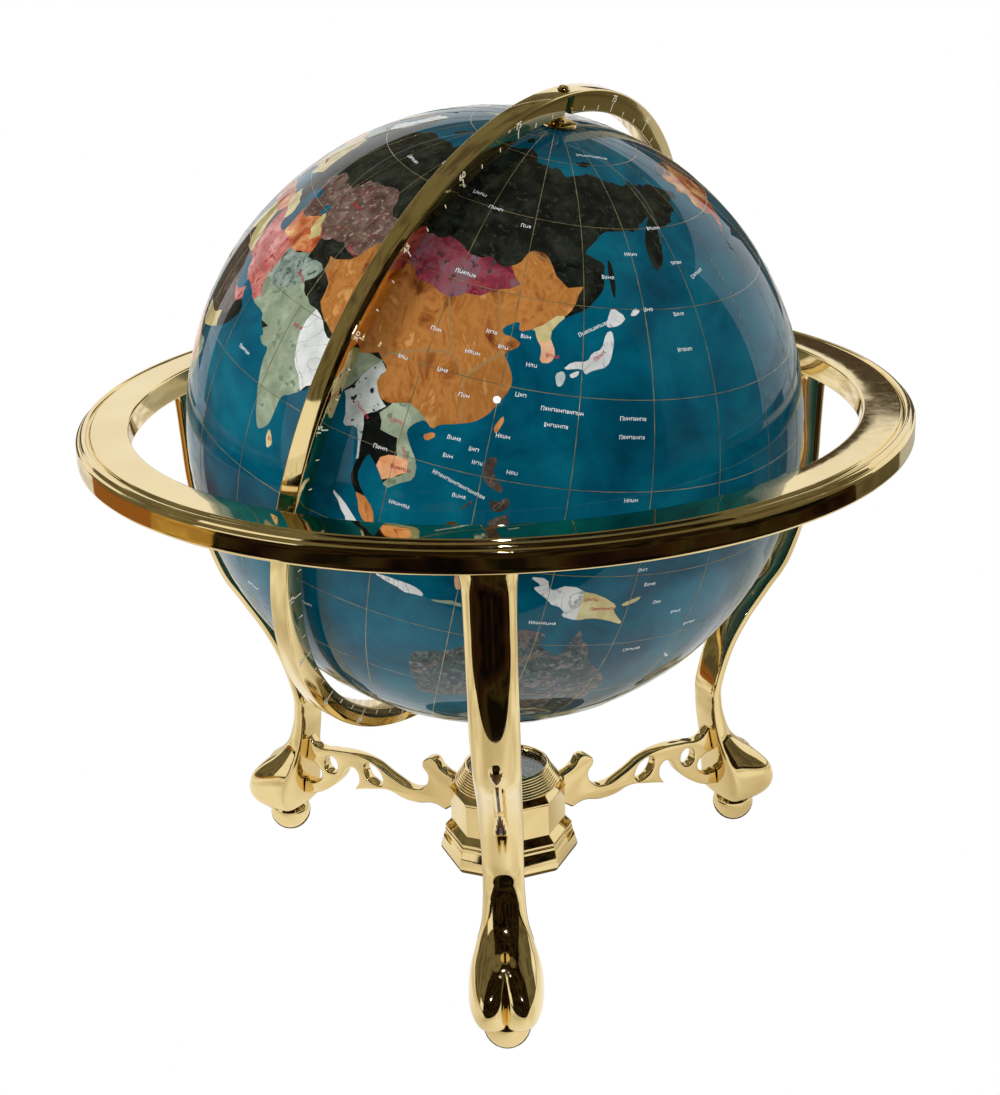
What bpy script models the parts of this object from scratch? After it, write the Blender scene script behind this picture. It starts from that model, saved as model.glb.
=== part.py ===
"""A desk globe that swings in a horizon ring on a three-legged cabriole stand.

The stand is one rigid body: horizon ring, three legs on ball feet, three scroll arms and an
octagonal hub with a compass. The meridian ring swings in the horizon ring on two level screws,
and the globe spins in the meridian ring on two pole pins. Sizes below are in millimetres; the
scene is in metres with +Z up, the floor at zero and the front leg towards -Y.
"""
import math

import bmesh
import bpy
from mathutils import Vector

MM = 0.001
TAU = 2.0 * math.pi

# Driving dimensions
GLOBE_RADIUS = 110.0
CENTRE_HEIGHT = 192.7
GAP = 0.3                      # between pieces that touch
RUNNING_GAP = 0.08             # radial clearance of a turning fit
RING_SEGMENTS = 72
ROUND_SEGMENTS = 24
PIN_SEGMENTS = 16
LEG_AZIMUTHS = {"front": 0.0, "right": 120.0, "left": 240.0}
PIVOT_AZIMUTH = -32.0          # the level swing axis, measured from the front leg
LEAN = 15.0                    # of the pole from the vertical

# Globe
SHELL_THICKNESS = 5.0
POLE_HOLE_RADIUS = 3.5
AXLE_RADIUS = 5.0

# Meridian ring
MERIDIAN_INNER = 114.1
MERIDIAN_OUTER = 121.9
MERIDIAN_THICKNESS = 7.1
POLE_PIN_RADIUS = 1.95
POLE_JOURNAL_RADIUS = 1.2
SLOT_TOP = 120.7

# Horizon ring, its heights measured from the globe's centre
RING_INNER = 129.9
RING_OUTER = 148.3
RING_TOP = 6.6
RING_BOTTOM = -3.0
PIVOT_SCREW_RADIUS = 1.5

# Legs and feet
LEG_SCREW_REACH = 142.2        # distance of the leg's top stud from the stand's axis
STUD_RADIUS = 1.8
LINK_RADIUS = 1.2              # studs and screws at the two ends of an arm
BALL_REACH = 106.4
BALL_RADIUS = 8.2
BALL_HEIGHT = 8.0
ARM_THICKNESS = 4.8
ARM_STUD_HEIGHT = 40.0
ARM_SCREW_HEIGHT = 37.0
ARM_END = 23.5                 # distance of an arm's hub end from the axis

# Hub, corner radii of its octagon, and the compass in it
HUB_CORNER = 22.6
BASE_CORNER = 26.6
HUB_TOP = 45.2
HUB_BOTTOM = 27.2
BASE_BOTTOM = 16.6
CAVITY_RADIUS = 16.5
APERTURE_RADIUS = 15.2
CAP_TOP = 54.4
BOWL_RADIUS = 15.6

GOLD = ("gold_plated_brass", (0.83, 0.69, 0.40), 0.12, 1.0)
STEEL = ("zinc_plated_steel", (0.62, 0.62, 0.60), 0.30, 1.0)
STONE = ("stone_and_resin_shell", (0.03, 0.22, 0.33), 0.08, 0.0)
ALUMINIUM = ("aluminium_tube", (0.70, 0.71, 0.72), 0.35, 1.0)
DARK = ("black_compass_card", (0.03, 0.04, 0.06), 0.40, 0.0)
NEEDLE = ("blued_steel_needle", (0.20, 0.06, 0.05), 0.30, 1.0)
GLASS = ("compass_glass", (0.85, 0.93, 0.95), 0.02, 0.0)


# Scene helpers

def clear_scene():
    for item in list(bpy.data.objects):
        bpy.data.objects.remove(item, do_unlink=True)


def make_collection(name):
    collection = bpy.data.collections.new(name)
    bpy.context.scene.collection.children.link(collection)
    return collection


def material(look):
    name, colour, roughness, metallic = look
    found = bpy.data.materials.get(name)
    if found:
        return found
    made = bpy.data.materials.new(name)
    made.use_nodes = True
    shader = made.node_tree.nodes["Principled BSDF"]
    shader.inputs["Base Color"].default_value = (*colour, 1.0)
    shader.inputs["Roughness"].default_value = roughness
    shader.inputs["Metallic"].default_value = metallic
    made.diffuse_color = (*colour, 1.0)
    return made


def place(item, parent=None, at=(0.0, 0.0, 0.0), turn=(0.0, 0.0, 0.0)):
    """Sets an object's place in mm and its rotation in degrees, under its parent."""
    item.parent = parent
    item.location = [value * MM for value in at]
    item.rotation_euler = [math.radians(angle) for angle in turn]
    return item


def add_object(name, data, look=None, **where):
    """Links a new object: a part when it has a look, otherwise a cutter."""
    item = bpy.data.objects.new(name, data)
    if look:
        parts.objects.link(item)
        data.materials.append(material(look))
    else:
        cutters.objects.link(item)
        item.hide_render = True
        item.display_type = "WIRE"
    return place(item, **where)


def cut(item, cutter, solver="EXACT"):
    step = item.modifiers.new("cut_" + cutter.name, "BOOLEAN")
    step.operation = "DIFFERENCE"
    step.solver = solver
    step.object = cutter


def join(item, other):
    step = item.modifiers.new("join_" + other.name, "BOOLEAN")
    step.operation = "UNION"
    step.object = other


# Shape helpers

def turned(name, profile, segments, look=None, **where):
    """A solid turned about local Z from (radius, height) points, outer side first."""
    mesh = bpy.data.meshes.new(name)
    count = len(profile)
    on_axis = profile[0][0] == 0.0 and profile[-1][0] == 0.0
    edges = [(i, i + 1) for i in range(count - 1)]
    if not on_axis:
        edges.append((count - 1, 0))
    mesh.from_pydata([(r * MM, 0.0, z * MM) for r, z in profile], edges, [])
    item = add_object(name, mesh, look, **where)
    screw = item.modifiers.new("turn", "SCREW")
    screw.axis = "Z"
    screw.angle = TAU
    screw.steps = segments
    screw.render_steps = segments
    screw.use_merge_vertices = True
    screw.merge_threshold = 0.00001
    screw.use_smooth_shade = segments > 8
    return item


def rod(name, radius, low, high, segments, look=None, **where):
    profile = [(0.0, high), (radius, high), (radius, low), (0.0, low)]
    return turned(name, profile, segments, look, **where)


def tube(name, inner, outer, low, high, segments, look=None, **where):
    profile = [(inner, high), (outer, high), (outer, low), (inner, low)]
    return turned(name, profile, segments, look, **where)


def headed_screw(name, shank, head, low, high, head_height, look, **where):
    """A screw along local Z whose domed head sits above its shank."""
    neck = high - head_height
    dome = [(0.0, high), (head * 0.62, high), (head, high - 0.45 * head_height), (head, neck)]
    shaft = [(shank, neck), (shank, low), (0.0, low)]
    return turned(name, dome + shaft, PIN_SEGMENTS, look, **where)


def box(name, size, look=None, **where):
    mesh = bpy.data.meshes.new(name)
    work = bmesh.new()
    bmesh.ops.create_cube(work, size=1.0)
    bmesh.ops.scale(work, vec=[side * MM for side in size], verts=work.verts)
    work.to_mesh(mesh)
    work.free()
    return add_object(name, mesh, look, **where)


def arc(radius, start, end, steps, height=0.0):
    """Points of a circle about the axis, angles in degrees down from the top."""
    points = []
    for i in range(steps + 1):
        angle = math.radians(start + (end - start) * i / steps)
        points.append((radius * math.sin(angle), height + radius * math.cos(angle)))
    return points


def loft(name, rings, look, **where):
    """Skins a stack of unlike sections that all have the same number of points."""
    mesh = bpy.data.meshes.new(name)
    work = bmesh.new()
    loops = [[work.verts.new(Vector(point) * MM) for point in ring] for ring in rings]
    count = len(rings[0])
    for upper, lower in zip(loops, loops[1:]):
        for i in range(count):
            j = (i + 1) % count
            work.faces.new((upper[i], upper[j], lower[j], lower[i]))
    work.faces.new(loops[0])
    work.faces.new(loops[-1])
    bmesh.ops.recalc_face_normals(work, faces=work.faces)
    work.to_mesh(mesh)
    work.free()
    return add_object(name, mesh, look, **where)


def radial_turn(azimuth):
    """The Z rotation that carries local +X to an azimuth measured from the front (-Y)."""
    return azimuth - 90.0


# Legs

# The inner and the outer line of a leg as (reach, height), and half its width, from the ring
# down to the toe. Below 50 mm the inner line is the straight seat of the scroll arm.
LEG_STATIONS = [
    ((137.5, 189.4), (146.8, 189.4), 9.6, 0.0),
    ((137.9, 183.0), (145.6, 183.0), 8.5, 0.0),
    ((137.4, 168.0), (144.4, 168.0), 8.2, 0.0),
    ((136.2, 149.5), (143.0, 149.0), 8.0, 0.0),
    ((132.0, 132.6), (138.3, 130.6), 8.0, 0.0),
    ((124.3, 114.7), (129.8, 111.3), 7.8, 0.0),
    ((115.1, 104.6), (119.9, 100.3), 7.7, 0.0),
    ((104.9, 93.2), (110.0, 89.3), 7.5, 0.0),
    ((97.2, 81.2), (102.9, 78.3), 7.4, 0.0),
    ((91.8, 65.6), (98.2, 65.0), 7.2, 0.0),
    ((91.4, 57.0), (98.1, 57.0), 7.1, 0.0),
    ((91.8, 50.0), (99.8, 49.7), 7.3, 0.0),
    ((93.18, 42.0), (102.9, 42.4), 8.0, 0.0),
    ((94.6, 33.7), (109.0, 35.2), 10.3, 0.0),
    ((95.8, 26.7), (116.6, 28.9), 12.2, 0.06),
    ((96.8, 21.0), (121.6, 22.4), 11.9, 0.16),
    ((97.0, 15.6), (122.9, 15.6), 11.0, 0.17),
    ((97.0, 11.6), (121.2, 10.4), 10.1, 0.10),
    ((97.0, 9.4), (117.6, 7.6), 9.6, 0.0),
]
SEAT_TOP = 50.0
SEAT_REACH = 91.8
SEAT_SLOPE = 0.172


def leg_section(inner, outer, half_width, groove):
    """A flat inner face and a half-round outer one, with a groove between two toes."""
    start = Vector(inner)
    depth = Vector(outer) - start
    outline = [(-0.92, 0.0)]
    for i in range(9):
        angle = math.pi * (1.0 - i / 8.0)
        outline.append((math.cos(angle), 0.22 + 0.78 * math.sin(angle)))
    outline.append((0.92, 0.0))
    ring = []
    for side, way in outline:
        way *= 1.0 - groove * math.exp(-((side / 0.28) ** 2))
        point = start + depth * way
        ring.append((point.x, side * half_width, point.y))
    return ring


def make_leg(label, azimuth):
    turn = (0.0, 0.0, radial_turn(azimuth))
    rings = [leg_section(*station) for station in LEG_STATIONS]
    leg = loft("leg_" + label, rings, GOLD, turn=turn)
    hub = bpy.data.objects.new("leg_axis_" + label, None)
    cutters.objects.link(hub)
    place(hub, turn=turn)

    stud_at = (LEG_SCREW_REACH, 0.0, 0.0)
    ring_bottom = CENTRE_HEIGHT + RING_BOTTOM
    rod("leg_stud_" + label, STUD_RADIUS, ring_bottom - 8.5, ring_bottom + 5.0, 12, STEEL,
        parent=hub, at=stud_at)
    bore = rod("leg_stud_bore_" + label, STUD_RADIUS + GAP, ring_bottom - 9.0,
               ring_bottom + 5.5, 12, parent=hub, at=stud_at)
    cut(leg, bore)

    ball_at = (BALL_REACH, 0.0, 0.0)
    half_flat = math.degrees(math.acos(BALL_HEIGHT / BALL_RADIUS))
    ball = [(0.0, 25.0), (STUD_RADIUS, 25.0)]
    ball += arc(BALL_RADIUS, half_flat, 180.0 - half_flat, 7, BALL_HEIGHT)
    ball.append((0.0, 0.0))
    turned("ball_foot_" + label, ball, PIN_SEGMENTS, GOLD, parent=hub, at=ball_at)
    socket = arc(BALL_RADIUS + GAP, 0.0, 180.0, 9, BALL_HEIGHT)
    cut(leg, turned("socket_" + label, socket, PIN_SEGMENTS, parent=hub, at=ball_at))
    stud_hole = rod("foot_stud_bore_" + label, STUD_RADIUS + GAP, 14.0, 25.5, 12,
                    parent=hub, at=ball_at)
    cut(leg, stud_hole)
    return leg, bore, hub


# Scroll arms

def seat(height):
    """Reach of an arm's leg end at a height, just clear of the leg's seat."""
    return SEAT_REACH + (SEAT_TOP - height) * SEAT_SLOPE - GAP


# The edge of an arm as (reach, height), round except where it is marked as a corner.
ARM_OUTLINE = [
    (seat(45.4), 45.4, "corner"), (88.4, 41.7, "round"), (80.5, 42.0, "round"),
    (70.0, 42.6, "round"), (61.0, 40.9, "round"), (51.5, 36.2, "round"),
    (43.3, 33.6, "round"), (37.8, 35.4, "round"), (35.2, 40.6, "round"),
    (37.8, 45.4, "round"), (35.8, 48.4, "round"), (32.0, 49.2, "round"),
    (28.8, 45.6, "round"), (ARM_END, 43.2, "corner"), (ARM_END, 31.0, "corner"),
    (27.6, 28.0, "corner"), (33.0, 29.4, "round"), (41.0, 27.9, "round"),
    (47.2, 28.1, "round"), (54.6, 30.0, "round"), (62.5, 28.7, "round"),
    (71.0, 26.6, "corner"), (68.8, 31.0, "round"), (70.8, 36.0, "round"),
    (73.6, 35.6, "round"), (77.6, 29.8, "round"), (83.4, 24.4, "round"),
    (90.0, 20.6, "round"), (seat(19.6) - 0.2, 19.0, "corner"), (seat(25.2), 25.2, "corner"),
    (90.6, 25.4, "round"), (87.2, 29.8, "round"), (90.2, 33.8, "round"),
    (seat(34.8), 34.8, "corner"),
]
ARM_HOLES = [(82.3, 35.1, 3.3, 3.9, 0.0), (61.6, 35.5, 5.5, 3.4, 45.0)]


def add_edge(curve, points):
    """A closed Bezier edge through (x, y, kind) points."""
    spline = curve.splines.new("BEZIER")
    spline.bezier_points.add(len(points) - 1)
    spline.use_cyclic_u = True
    spline.resolution_u = 2
    for knot, (x, y, kind) in zip(spline.bezier_points, points):
        knot.co = (x * MM, y * MM, 0.0)
        handle = "VECTOR" if kind == "corner" else "AUTO"
        knot.handle_left_type = handle
        knot.handle_right_type = handle


def ellipse(x, y, half_long, half_short, tilt):
    points = []
    slope = math.radians(tilt)
    for i in range(6):
        angle = TAU * i / 6
        along = half_long * math.cos(angle)
        across = half_short * math.sin(angle)
        points.append((x + along * math.cos(slope) - across * math.sin(slope),
                       y + along * math.sin(slope) + across * math.cos(slope), "round"))
    return points


def solid_from_curve(curve_object, name, look):
    """Turns a filled curve into one closed mesh object in the same place."""
    graph = bpy.context.evaluated_depsgraph_get()
    mesh = bpy.data.meshes.new_from_object(curve_object.evaluated_get(graph))
    work = bmesh.new()
    work.from_mesh(mesh)
    bmesh.ops.remove_doubles(work, verts=work.verts, dist=0.00002)
    bmesh.ops.recalc_face_normals(work, faces=work.faces)
    work.to_mesh(mesh)
    work.free()
    mesh.name = name
    mesh.materials.clear()
    item = add_object(name, mesh, look)
    item.matrix_world = curve_object.matrix_world
    bpy.data.objects.remove(curve_object, do_unlink=True)
    return item


def make_arm(label, azimuth, hub, leg):
    curve = bpy.data.curves.new("arm_outline_" + label, "CURVE")
    curve.dimensions = "2D"
    curve.fill_mode = "BOTH"
    curve.extrude = 0.5 * ARM_THICKNESS * MM
    add_edge(curve, ARM_OUTLINE)
    for hole in ARM_HOLES:
        add_edge(curve, ellipse(*hole))
    outline = bpy.data.objects.new("arm_outline_" + label, curve)
    parts.objects.link(outline)
    place(outline, turn=(90.0, 0.0, radial_turn(azimuth)))
    bpy.context.view_layer.update()
    arm = solid_from_curve(outline, "scroll_arm_" + label, GOLD)

    lying = (0.0, 90.0, 0.0)
    stud_at = (0.0, 0.0, ARM_STUD_HEIGHT)
    rod("arm_stud_" + label, LINK_RADIUS, 88.0, 98.4, 10, STEEL, parent=hub, at=stud_at,
        turn=lying)
    stud_bore = rod("arm_stud_bore_" + label, LINK_RADIUS + GAP, 87.7, 98.8, 10,
                    parent=hub, at=stud_at, turn=lying)
    cut(arm, stud_bore)
    cut(leg, stud_bore)

    screw_at = (0.0, 0.0, ARM_SCREW_HEIGHT)
    headed_screw("arm_screw_" + label, LINK_RADIUS, 2.2, -31.0, -14.2, 1.6, STEEL,
                 parent=hub, at=screw_at, turn=(0.0, -90.0, 0.0))
    screw_bore = rod("arm_screw_bore_" + label, LINK_RADIUS + GAP, 12.0, 31.4, 10,
                     parent=hub, at=screw_at, turn=lying)
    cut(arm, screw_bore)
    return screw_bore


# Rings

def make_horizon_ring(stud_bores, frame):
    top = RING_TOP
    profile = [
        (RING_INNER + 0.5, top), (143.4, top), (143.9, top - 0.7), (144.6, top - 0.7),
        (145.0, top - 0.2), (146.6, top - 0.2), (147.2, top - 1.2), (147.6, top - 1.4),
        (RING_OUTER, top - 2.1), (RING_OUTER, RING_BOTTOM + 0.6),
        (RING_OUTER - 0.6, RING_BOTTOM), (RING_INNER + 0.5, RING_BOTTOM),
        (RING_INNER, RING_BOTTOM + 0.5), (RING_INNER, top - 0.5),
    ]
    ring = turned("horizon_ring", profile, RING_SEGMENTS, GOLD, at=(0.0, 0.0, CENTRE_HEIGHT))
    for bore in stud_bores:
        cut(ring, bore)
    for side, turn in PIVOT_TURNS.items():
        bore = rod("pivot_bore_" + side, PIVOT_SCREW_RADIUS + GAP, 125.0, 137.0, PIN_SEGMENTS,
                   parent=frame, turn=turn)
        cut(ring, bore)


PIVOT_TURNS = {"front": (0.0, 90.0, 0.0), "rear": (0.0, -90.0, 0.0)}
POLE_TURNS = {"north": (0.0, 0.0, 0.0), "south": (0.0, 180.0, 0.0)}


def make_pivots(frame):
    """Two level screws that carry the meridian ring, each with a spacer beside the ring."""
    for side, turn in PIVOT_TURNS.items():
        profile = [(0.0, 136.6), (PIVOT_SCREW_RADIUS, 136.6), (PIVOT_SCREW_RADIUS, 113.8),
                   (2.8, 113.8), (2.8, 112.7), (1.9, 112.0), (0.0, 112.0)]
        turned("pivot_screw_" + side, profile, PIN_SEGMENTS, STEEL, parent=frame, turn=turn)
        tube("pivot_spacer_" + side, PIVOT_SCREW_RADIUS + GAP, 2.7, MERIDIAN_OUTER + GAP,
             RING_INNER - GAP, PIN_SEGMENTS, GOLD, parent=frame, turn=turn)


def make_meridian(frame):
    half = 0.5 * MERIDIAN_THICKNESS
    bevel = 0.4
    profile = [
        (MERIDIAN_INNER + bevel, half), (MERIDIAN_OUTER - bevel, half),
        (MERIDIAN_OUTER, half - bevel), (MERIDIAN_OUTER, bevel - half),
        (MERIDIAN_OUTER - bevel, -half), (MERIDIAN_INNER + bevel, -half),
        (MERIDIAN_INNER, bevel - half), (MERIDIAN_INNER, half - bevel),
    ]
    ring = turned("meridian_ring", profile, RING_SEGMENTS, GOLD, parent=frame,
                  turn=(-90.0, 0.0, 0.0))
    bore_radius = (PIVOT_SCREW_RADIUS + RUNNING_GAP) / math.cos(math.pi / PIN_SEGMENTS)
    for side, turn in PIVOT_TURNS.items():
        bore = rod("journal_bore_" + side, bore_radius, 112.0, 124.0, PIN_SEGMENTS,
                   parent=frame, turn=turn)
        cut(ring, bore)

    slot_width = 2.0 * (POLE_PIN_RADIUS + GAP)
    slot_depth = 0.5 * slot_width + half + 1.0
    for pole, turn in POLE_TURNS.items():
        axis = bpy.data.objects.new("pole_axis_" + pole, None)
        cutters.objects.link(axis)
        place(axis, parent=frame, turn=turn)
        slot_height = SLOT_TOP - MERIDIAN_INNER + 2.0
        slot_at = (0.0, 0.5 * (half + 1.0 - 0.5 * slot_width), SLOT_TOP - 0.5 * slot_height)
        cut(ring, box("pole_slot_" + pole, (slot_width, slot_depth, slot_height),
                      parent=axis, at=slot_at))
        cut(ring, rod("pole_screw_bore_" + pole, 1.2, 119.0, 124.0, 12, parent=axis))
        make_pole_pin(pole, axis)


def make_pole_pin(pole, axis):
    """The pin that carries one pole, its retaining screw and the globe's flanged cap."""
    pin = [(0.0, 120.4), (POLE_PIN_RADIUS, 120.4), (POLE_PIN_RADIUS, 112.8),
           (POLE_JOURNAL_RADIUS, 112.8), (POLE_JOURNAL_RADIUS, 99.0), (0.0, 99.0)]
    name = "pole_pin_" + pole
    carrier = turned(name, pin, PIN_SEGMENTS, GOLD, parent=axis)
    cut(carrier, rod("pole_pin_tap_" + pole, 1.2, 116.6, 121.0, 12, parent=axis))
    headed_screw("pole_screw_" + pole, 0.9, 2.0, 117.0, 123.4, 1.2, GOLD, parent=axis)

    bore = (POLE_JOURNAL_RADIUS + RUNNING_GAP) / math.cos(math.pi / PIN_SEGMENTS)
    flange = GLOBE_RADIUS + GAP
    cap = [(bore, 112.5), (2.9, 112.5), (3.1, 111.5), (6.2, 111.3), (6.8, 110.9),
           (6.8, flange), (3.2, flange), (3.2, 98.0), (bore, 98.0)]
    turned("pole_cap_" + pole, cap, PIN_SEGMENTS, GOLD, parent=axis)


def make_globe(frame):
    inner = GLOBE_RADIUS - SHELL_THICKNESS
    hole = math.degrees(math.asin(POLE_HOLE_RADIUS / GLOBE_RADIUS))
    inner_hole = math.degrees(math.asin(POLE_HOLE_RADIUS / inner))
    rim = math.degrees(math.asin(0.5 * GAP / GLOBE_RADIUS))
    profile = arc(GLOBE_RADIUS, hole, 90.0 - rim, 11) + arc(inner, 90.0 - rim, inner_hole, 3)
    for pole, turn in POLE_TURNS.items():
        turned("globe_shell_" + pole, profile, 48, STONE, parent=frame, turn=turn)
    tube("globe_axle_tube", POLE_HOLE_RADIUS, AXLE_RADIUS, -104.2, 104.2, PIN_SEGMENTS, ALUMINIUM,
         parent=frame)


# Hub and compass

def make_hub(screw_bores):
    """The octagonal body with a seat for each arm, its base and the bolt that joins them."""
    web_low = HUB_TOP - 4.0
    body = [
        (0.0, HUB_TOP), (HUB_CORNER - 0.9, HUB_TOP), (HUB_CORNER, HUB_TOP - 0.9),
        (HUB_CORNER, 29.4), (23.4, 28.4), (24.4, 28.1), (24.6, HUB_BOTTOM),
        (0.0, HUB_BOTTOM),
    ]
    hub = turned("hub_body", body, 8, GOLD)
    for label, azimuth in LEG_AZIMUTHS.items():
        turn = (0.0, 0.0, radial_turn(azimuth))
        axis = bpy.data.objects.new("seat_axis_" + label, None)
        cutters.objects.link(axis)
        place(axis, turn=turn)
        pad_reach = ARM_END - GAP
        pad = box("arm_seat_" + label, (pad_reach - 18.0, ARM_THICKNESS, 11.4),
                  parent=axis, at=(0.5 * (pad_reach + 18.0), 0.0, ARM_SCREW_HEIGHT))
        join(hub, pad)
    cut(hub, rod("hub_cavity", CAVITY_RADIUS, HUB_BOTTOM - 1.0, web_low, ROUND_SEGMENTS))
    cut(hub, rod("compass_seat", BOWL_RADIUS + GAP + 0.1, HUB_TOP - 1.5, HUB_TOP + 1.0,
                 ROUND_SEGMENTS))
    cut(hub, rod("hub_bolt_bore", 2.8, 30.0, HUB_TOP, PIN_SEGMENTS))
    for bore in screw_bores:
        cut(hub, bore, "MANIFOLD")

    top = HUB_BOTTOM - GAP
    base = [
        (19.0, top), (24.8, top), (25.2, 25.4), (BASE_CORNER - 0.4, 24.6),
        (BASE_CORNER, 23.6), (BASE_CORNER, 18.4), (BASE_CORNER - 1.4, BASE_BOTTOM),
        (3.0, BASE_BOTTOM), (3.0, 20.4), (19.0, 20.4),
    ]
    turned("hub_base", base, 8, GOLD)
    bolt = [(0.0, 43.0), (2.4, 43.0), (2.4, 16.3), (4.6, 16.3), (4.6, 14.6), (3.8, 13.8),
            (0.0, 13.8)]
    turned("hub_bolt", bolt, PIN_SEGMENTS, STEEL)
    nut = rod("hub_nut", 4.6, web_low - GAP - 3.2, web_low - GAP, 6, STEEL)
    cut(nut, rod("hub_nut_bore", 2.7, 30.0, 44.0, PIN_SEGMENTS))


def make_compass():
    """Stepped cap, glass, bowl, card, pivot and needle, from the outside in."""
    cap = [(APERTURE_RADIUS, CAP_TOP), (APERTURE_RADIUS + 0.8, CAP_TOP)]
    radius = APERTURE_RADIUS + 1.2
    height = CAP_TOP - 0.8
    for rise, run in ((1.5, 0.9), (1.6, 0.9), (1.6, 1.0), (1.6, 1.1)):
        cap += [(radius, height), (radius, height - rise)]
        radius += run
        height -= rise
    floor = HUB_TOP + GAP
    cap += [(radius, height), (radius, floor)]
    cap += [(BOWL_RADIUS + GAP, floor), (BOWL_RADIUS + GAP, 52.3), (APERTURE_RADIUS, 52.3)]
    turned("compass_cap", cap, ROUND_SEGMENTS, GOLD)
    rod("compass_glass", BOWL_RADIUS, 50.8, 52.0, ROUND_SEGMENTS, GLASS)
    bowl_floor = HUB_TOP - 1.5 + GAP
    bowl = [(14.7, 50.5), (BOWL_RADIUS, 50.5), (BOWL_RADIUS, bowl_floor), (1.3, bowl_floor),
            (1.3, bowl_floor + 0.8), (14.7, bowl_floor + 0.8)]
    turned("compass_bowl", bowl, ROUND_SEGMENTS, DARK)
    card_low = bowl_floor + 0.8 + GAP
    tube("compass_card", 1.3, 14.4, card_low, card_low + 0.6, ROUND_SEGMENTS, DARK)
    pivot = [(0.0, 48.6), (0.6, 48.6), (0.6, 47.6), (1.0, 47.6), (1.0, bowl_floor),
             (0.0, bowl_floor)]
    turned("compass_pivot", pivot, 12, STEEL)

    mesh = bpy.data.meshes.new("compass_needle")
    work = bmesh.new()
    bmesh.ops.create_cone(work, cap_ends=True, segments=4, radius1=1.0, radius2=1.0, depth=1.0)
    bmesh.ops.scale(work, vec=(1.9 * MM, 11.5 * MM, 0.6 * MM), verts=work.verts)
    work.to_mesh(mesh)
    work.free()
    needle = add_object("compass_needle", mesh, NEEDLE, at=(0.0, 0.0, 48.2))
    hole = (0.6 + RUNNING_GAP) / math.cos(math.pi / 12)
    cut(needle, rod("needle_bore", hole, 47.0, 49.4, 12))


clear_scene()
parts = make_collection("desk_globe_on_stand")
cutters = make_collection("cutters")

swing_frame = bpy.data.objects.new("swing_frame", None)
parts.objects.link(swing_frame)
place(swing_frame, at=(0.0, 0.0, CENTRE_HEIGHT),
      turn=(-LEAN, 0.0, radial_turn(PIVOT_AZIMUTH)))

leg_bores = []
arm_bores = []
for leg_label, leg_azimuth in LEG_AZIMUTHS.items():
    new_leg, leg_bore, leg_axis = make_leg(leg_label, leg_azimuth)
    leg_bores.append(leg_bore)
    arm_bores.append(make_arm(leg_label, leg_azimuth, leg_axis, new_leg))
make_horizon_ring(leg_bores, swing_frame)
make_pivots(swing_frame)
make_meridian(swing_frame)
make_globe(swing_frame)
make_hub(arm_bores)
make_compass()
bpy.context.view_layer.update()
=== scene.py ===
import math
import random

import bmesh
import bpy
from mathutils import Euler, Matrix, Vector
from mathutils.geometry import delaunay_2d_cdt


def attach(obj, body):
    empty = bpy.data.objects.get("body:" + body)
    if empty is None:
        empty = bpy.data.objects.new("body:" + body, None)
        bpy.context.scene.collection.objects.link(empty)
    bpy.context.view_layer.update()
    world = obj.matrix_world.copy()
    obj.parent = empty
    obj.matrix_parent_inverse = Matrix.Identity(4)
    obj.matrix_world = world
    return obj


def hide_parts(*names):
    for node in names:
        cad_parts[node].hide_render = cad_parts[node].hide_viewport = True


# A desk globe of inlaid stone in gold-plated rings, on a three-legged cabriole stand with a
# compass. Sizes are in millimetres and are turned to metres where a piece is made.
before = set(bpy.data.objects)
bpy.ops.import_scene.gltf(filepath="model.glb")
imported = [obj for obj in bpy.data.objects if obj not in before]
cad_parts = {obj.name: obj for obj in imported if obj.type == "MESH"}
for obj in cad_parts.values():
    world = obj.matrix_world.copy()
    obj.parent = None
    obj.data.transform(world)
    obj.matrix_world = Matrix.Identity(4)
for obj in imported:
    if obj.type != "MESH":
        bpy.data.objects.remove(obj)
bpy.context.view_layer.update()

MM = 0.001
GLOBE_RADIUS = 110.0
CENTRE = 192.7
LEG_AZIMUTHS = {"front": 0.0, "right": 120.0, "left": 240.0}
PIVOT_AZIMUTH = -32.0
LEAN = 15.0
MAP_TURN = -91.65              # local angle of the prime meridian about the pole axis

CENTRE_PLACE = Matrix.Translation((0.0, 0.0, CENTRE * MM))
SWING_TURN = Euler((math.radians(-LEAN), 0.0, math.radians(PIVOT_AZIMUTH - 90.0)))
SWING = CENTRE_PLACE @ SWING_TURN.to_matrix().to_4x4()


def turn_x(degrees):
    return Matrix.Rotation(math.radians(degrees), 4, "X")


def turn_y(degrees):
    return Matrix.Rotation(math.radians(degrees), 4, "Y")


def turn_z(degrees):
    return Matrix.Rotation(math.radians(degrees), 4, "Z")


# Materials

def linear(code):
    """An sRGB hex colour as a linear RGBA tuple."""
    value = []
    for i in (0, 2, 4):
        part = int(code[i:i + 2], 16) / 255.0
        value.append(part / 12.92 if part <= 0.04045 else ((part + 0.055) / 1.055) ** 2.4)
    return (*value, 1.0)


def new_material(name):
    made = bpy.data.materials.new(name)
    made.use_nodes = True
    return made, made.node_tree, made.node_tree.nodes["Principled BSDF"]


def add(tree, kind, links=None, stops=None, values=None, **settings):
    """Adds a shader node with its settings, ramp stops, input values and incoming links."""
    node = tree.nodes.new("ShaderNode" + kind)
    for key, value in settings.items():
        setattr(node, key, value)
    for key, value in (values or {}).items():
        node.inputs[key].default_value = value
    for key, socket in (links or {}).items():
        tree.links.new(socket, node.inputs[key])
    if stops:
        elements = node.color_ramp.elements
        while len(elements) < len(stops):
            elements.new(0.5)
        for element, (position, code) in zip(elements, stops):
            element.position = position
            element.color = linear(code)
    return node


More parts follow.
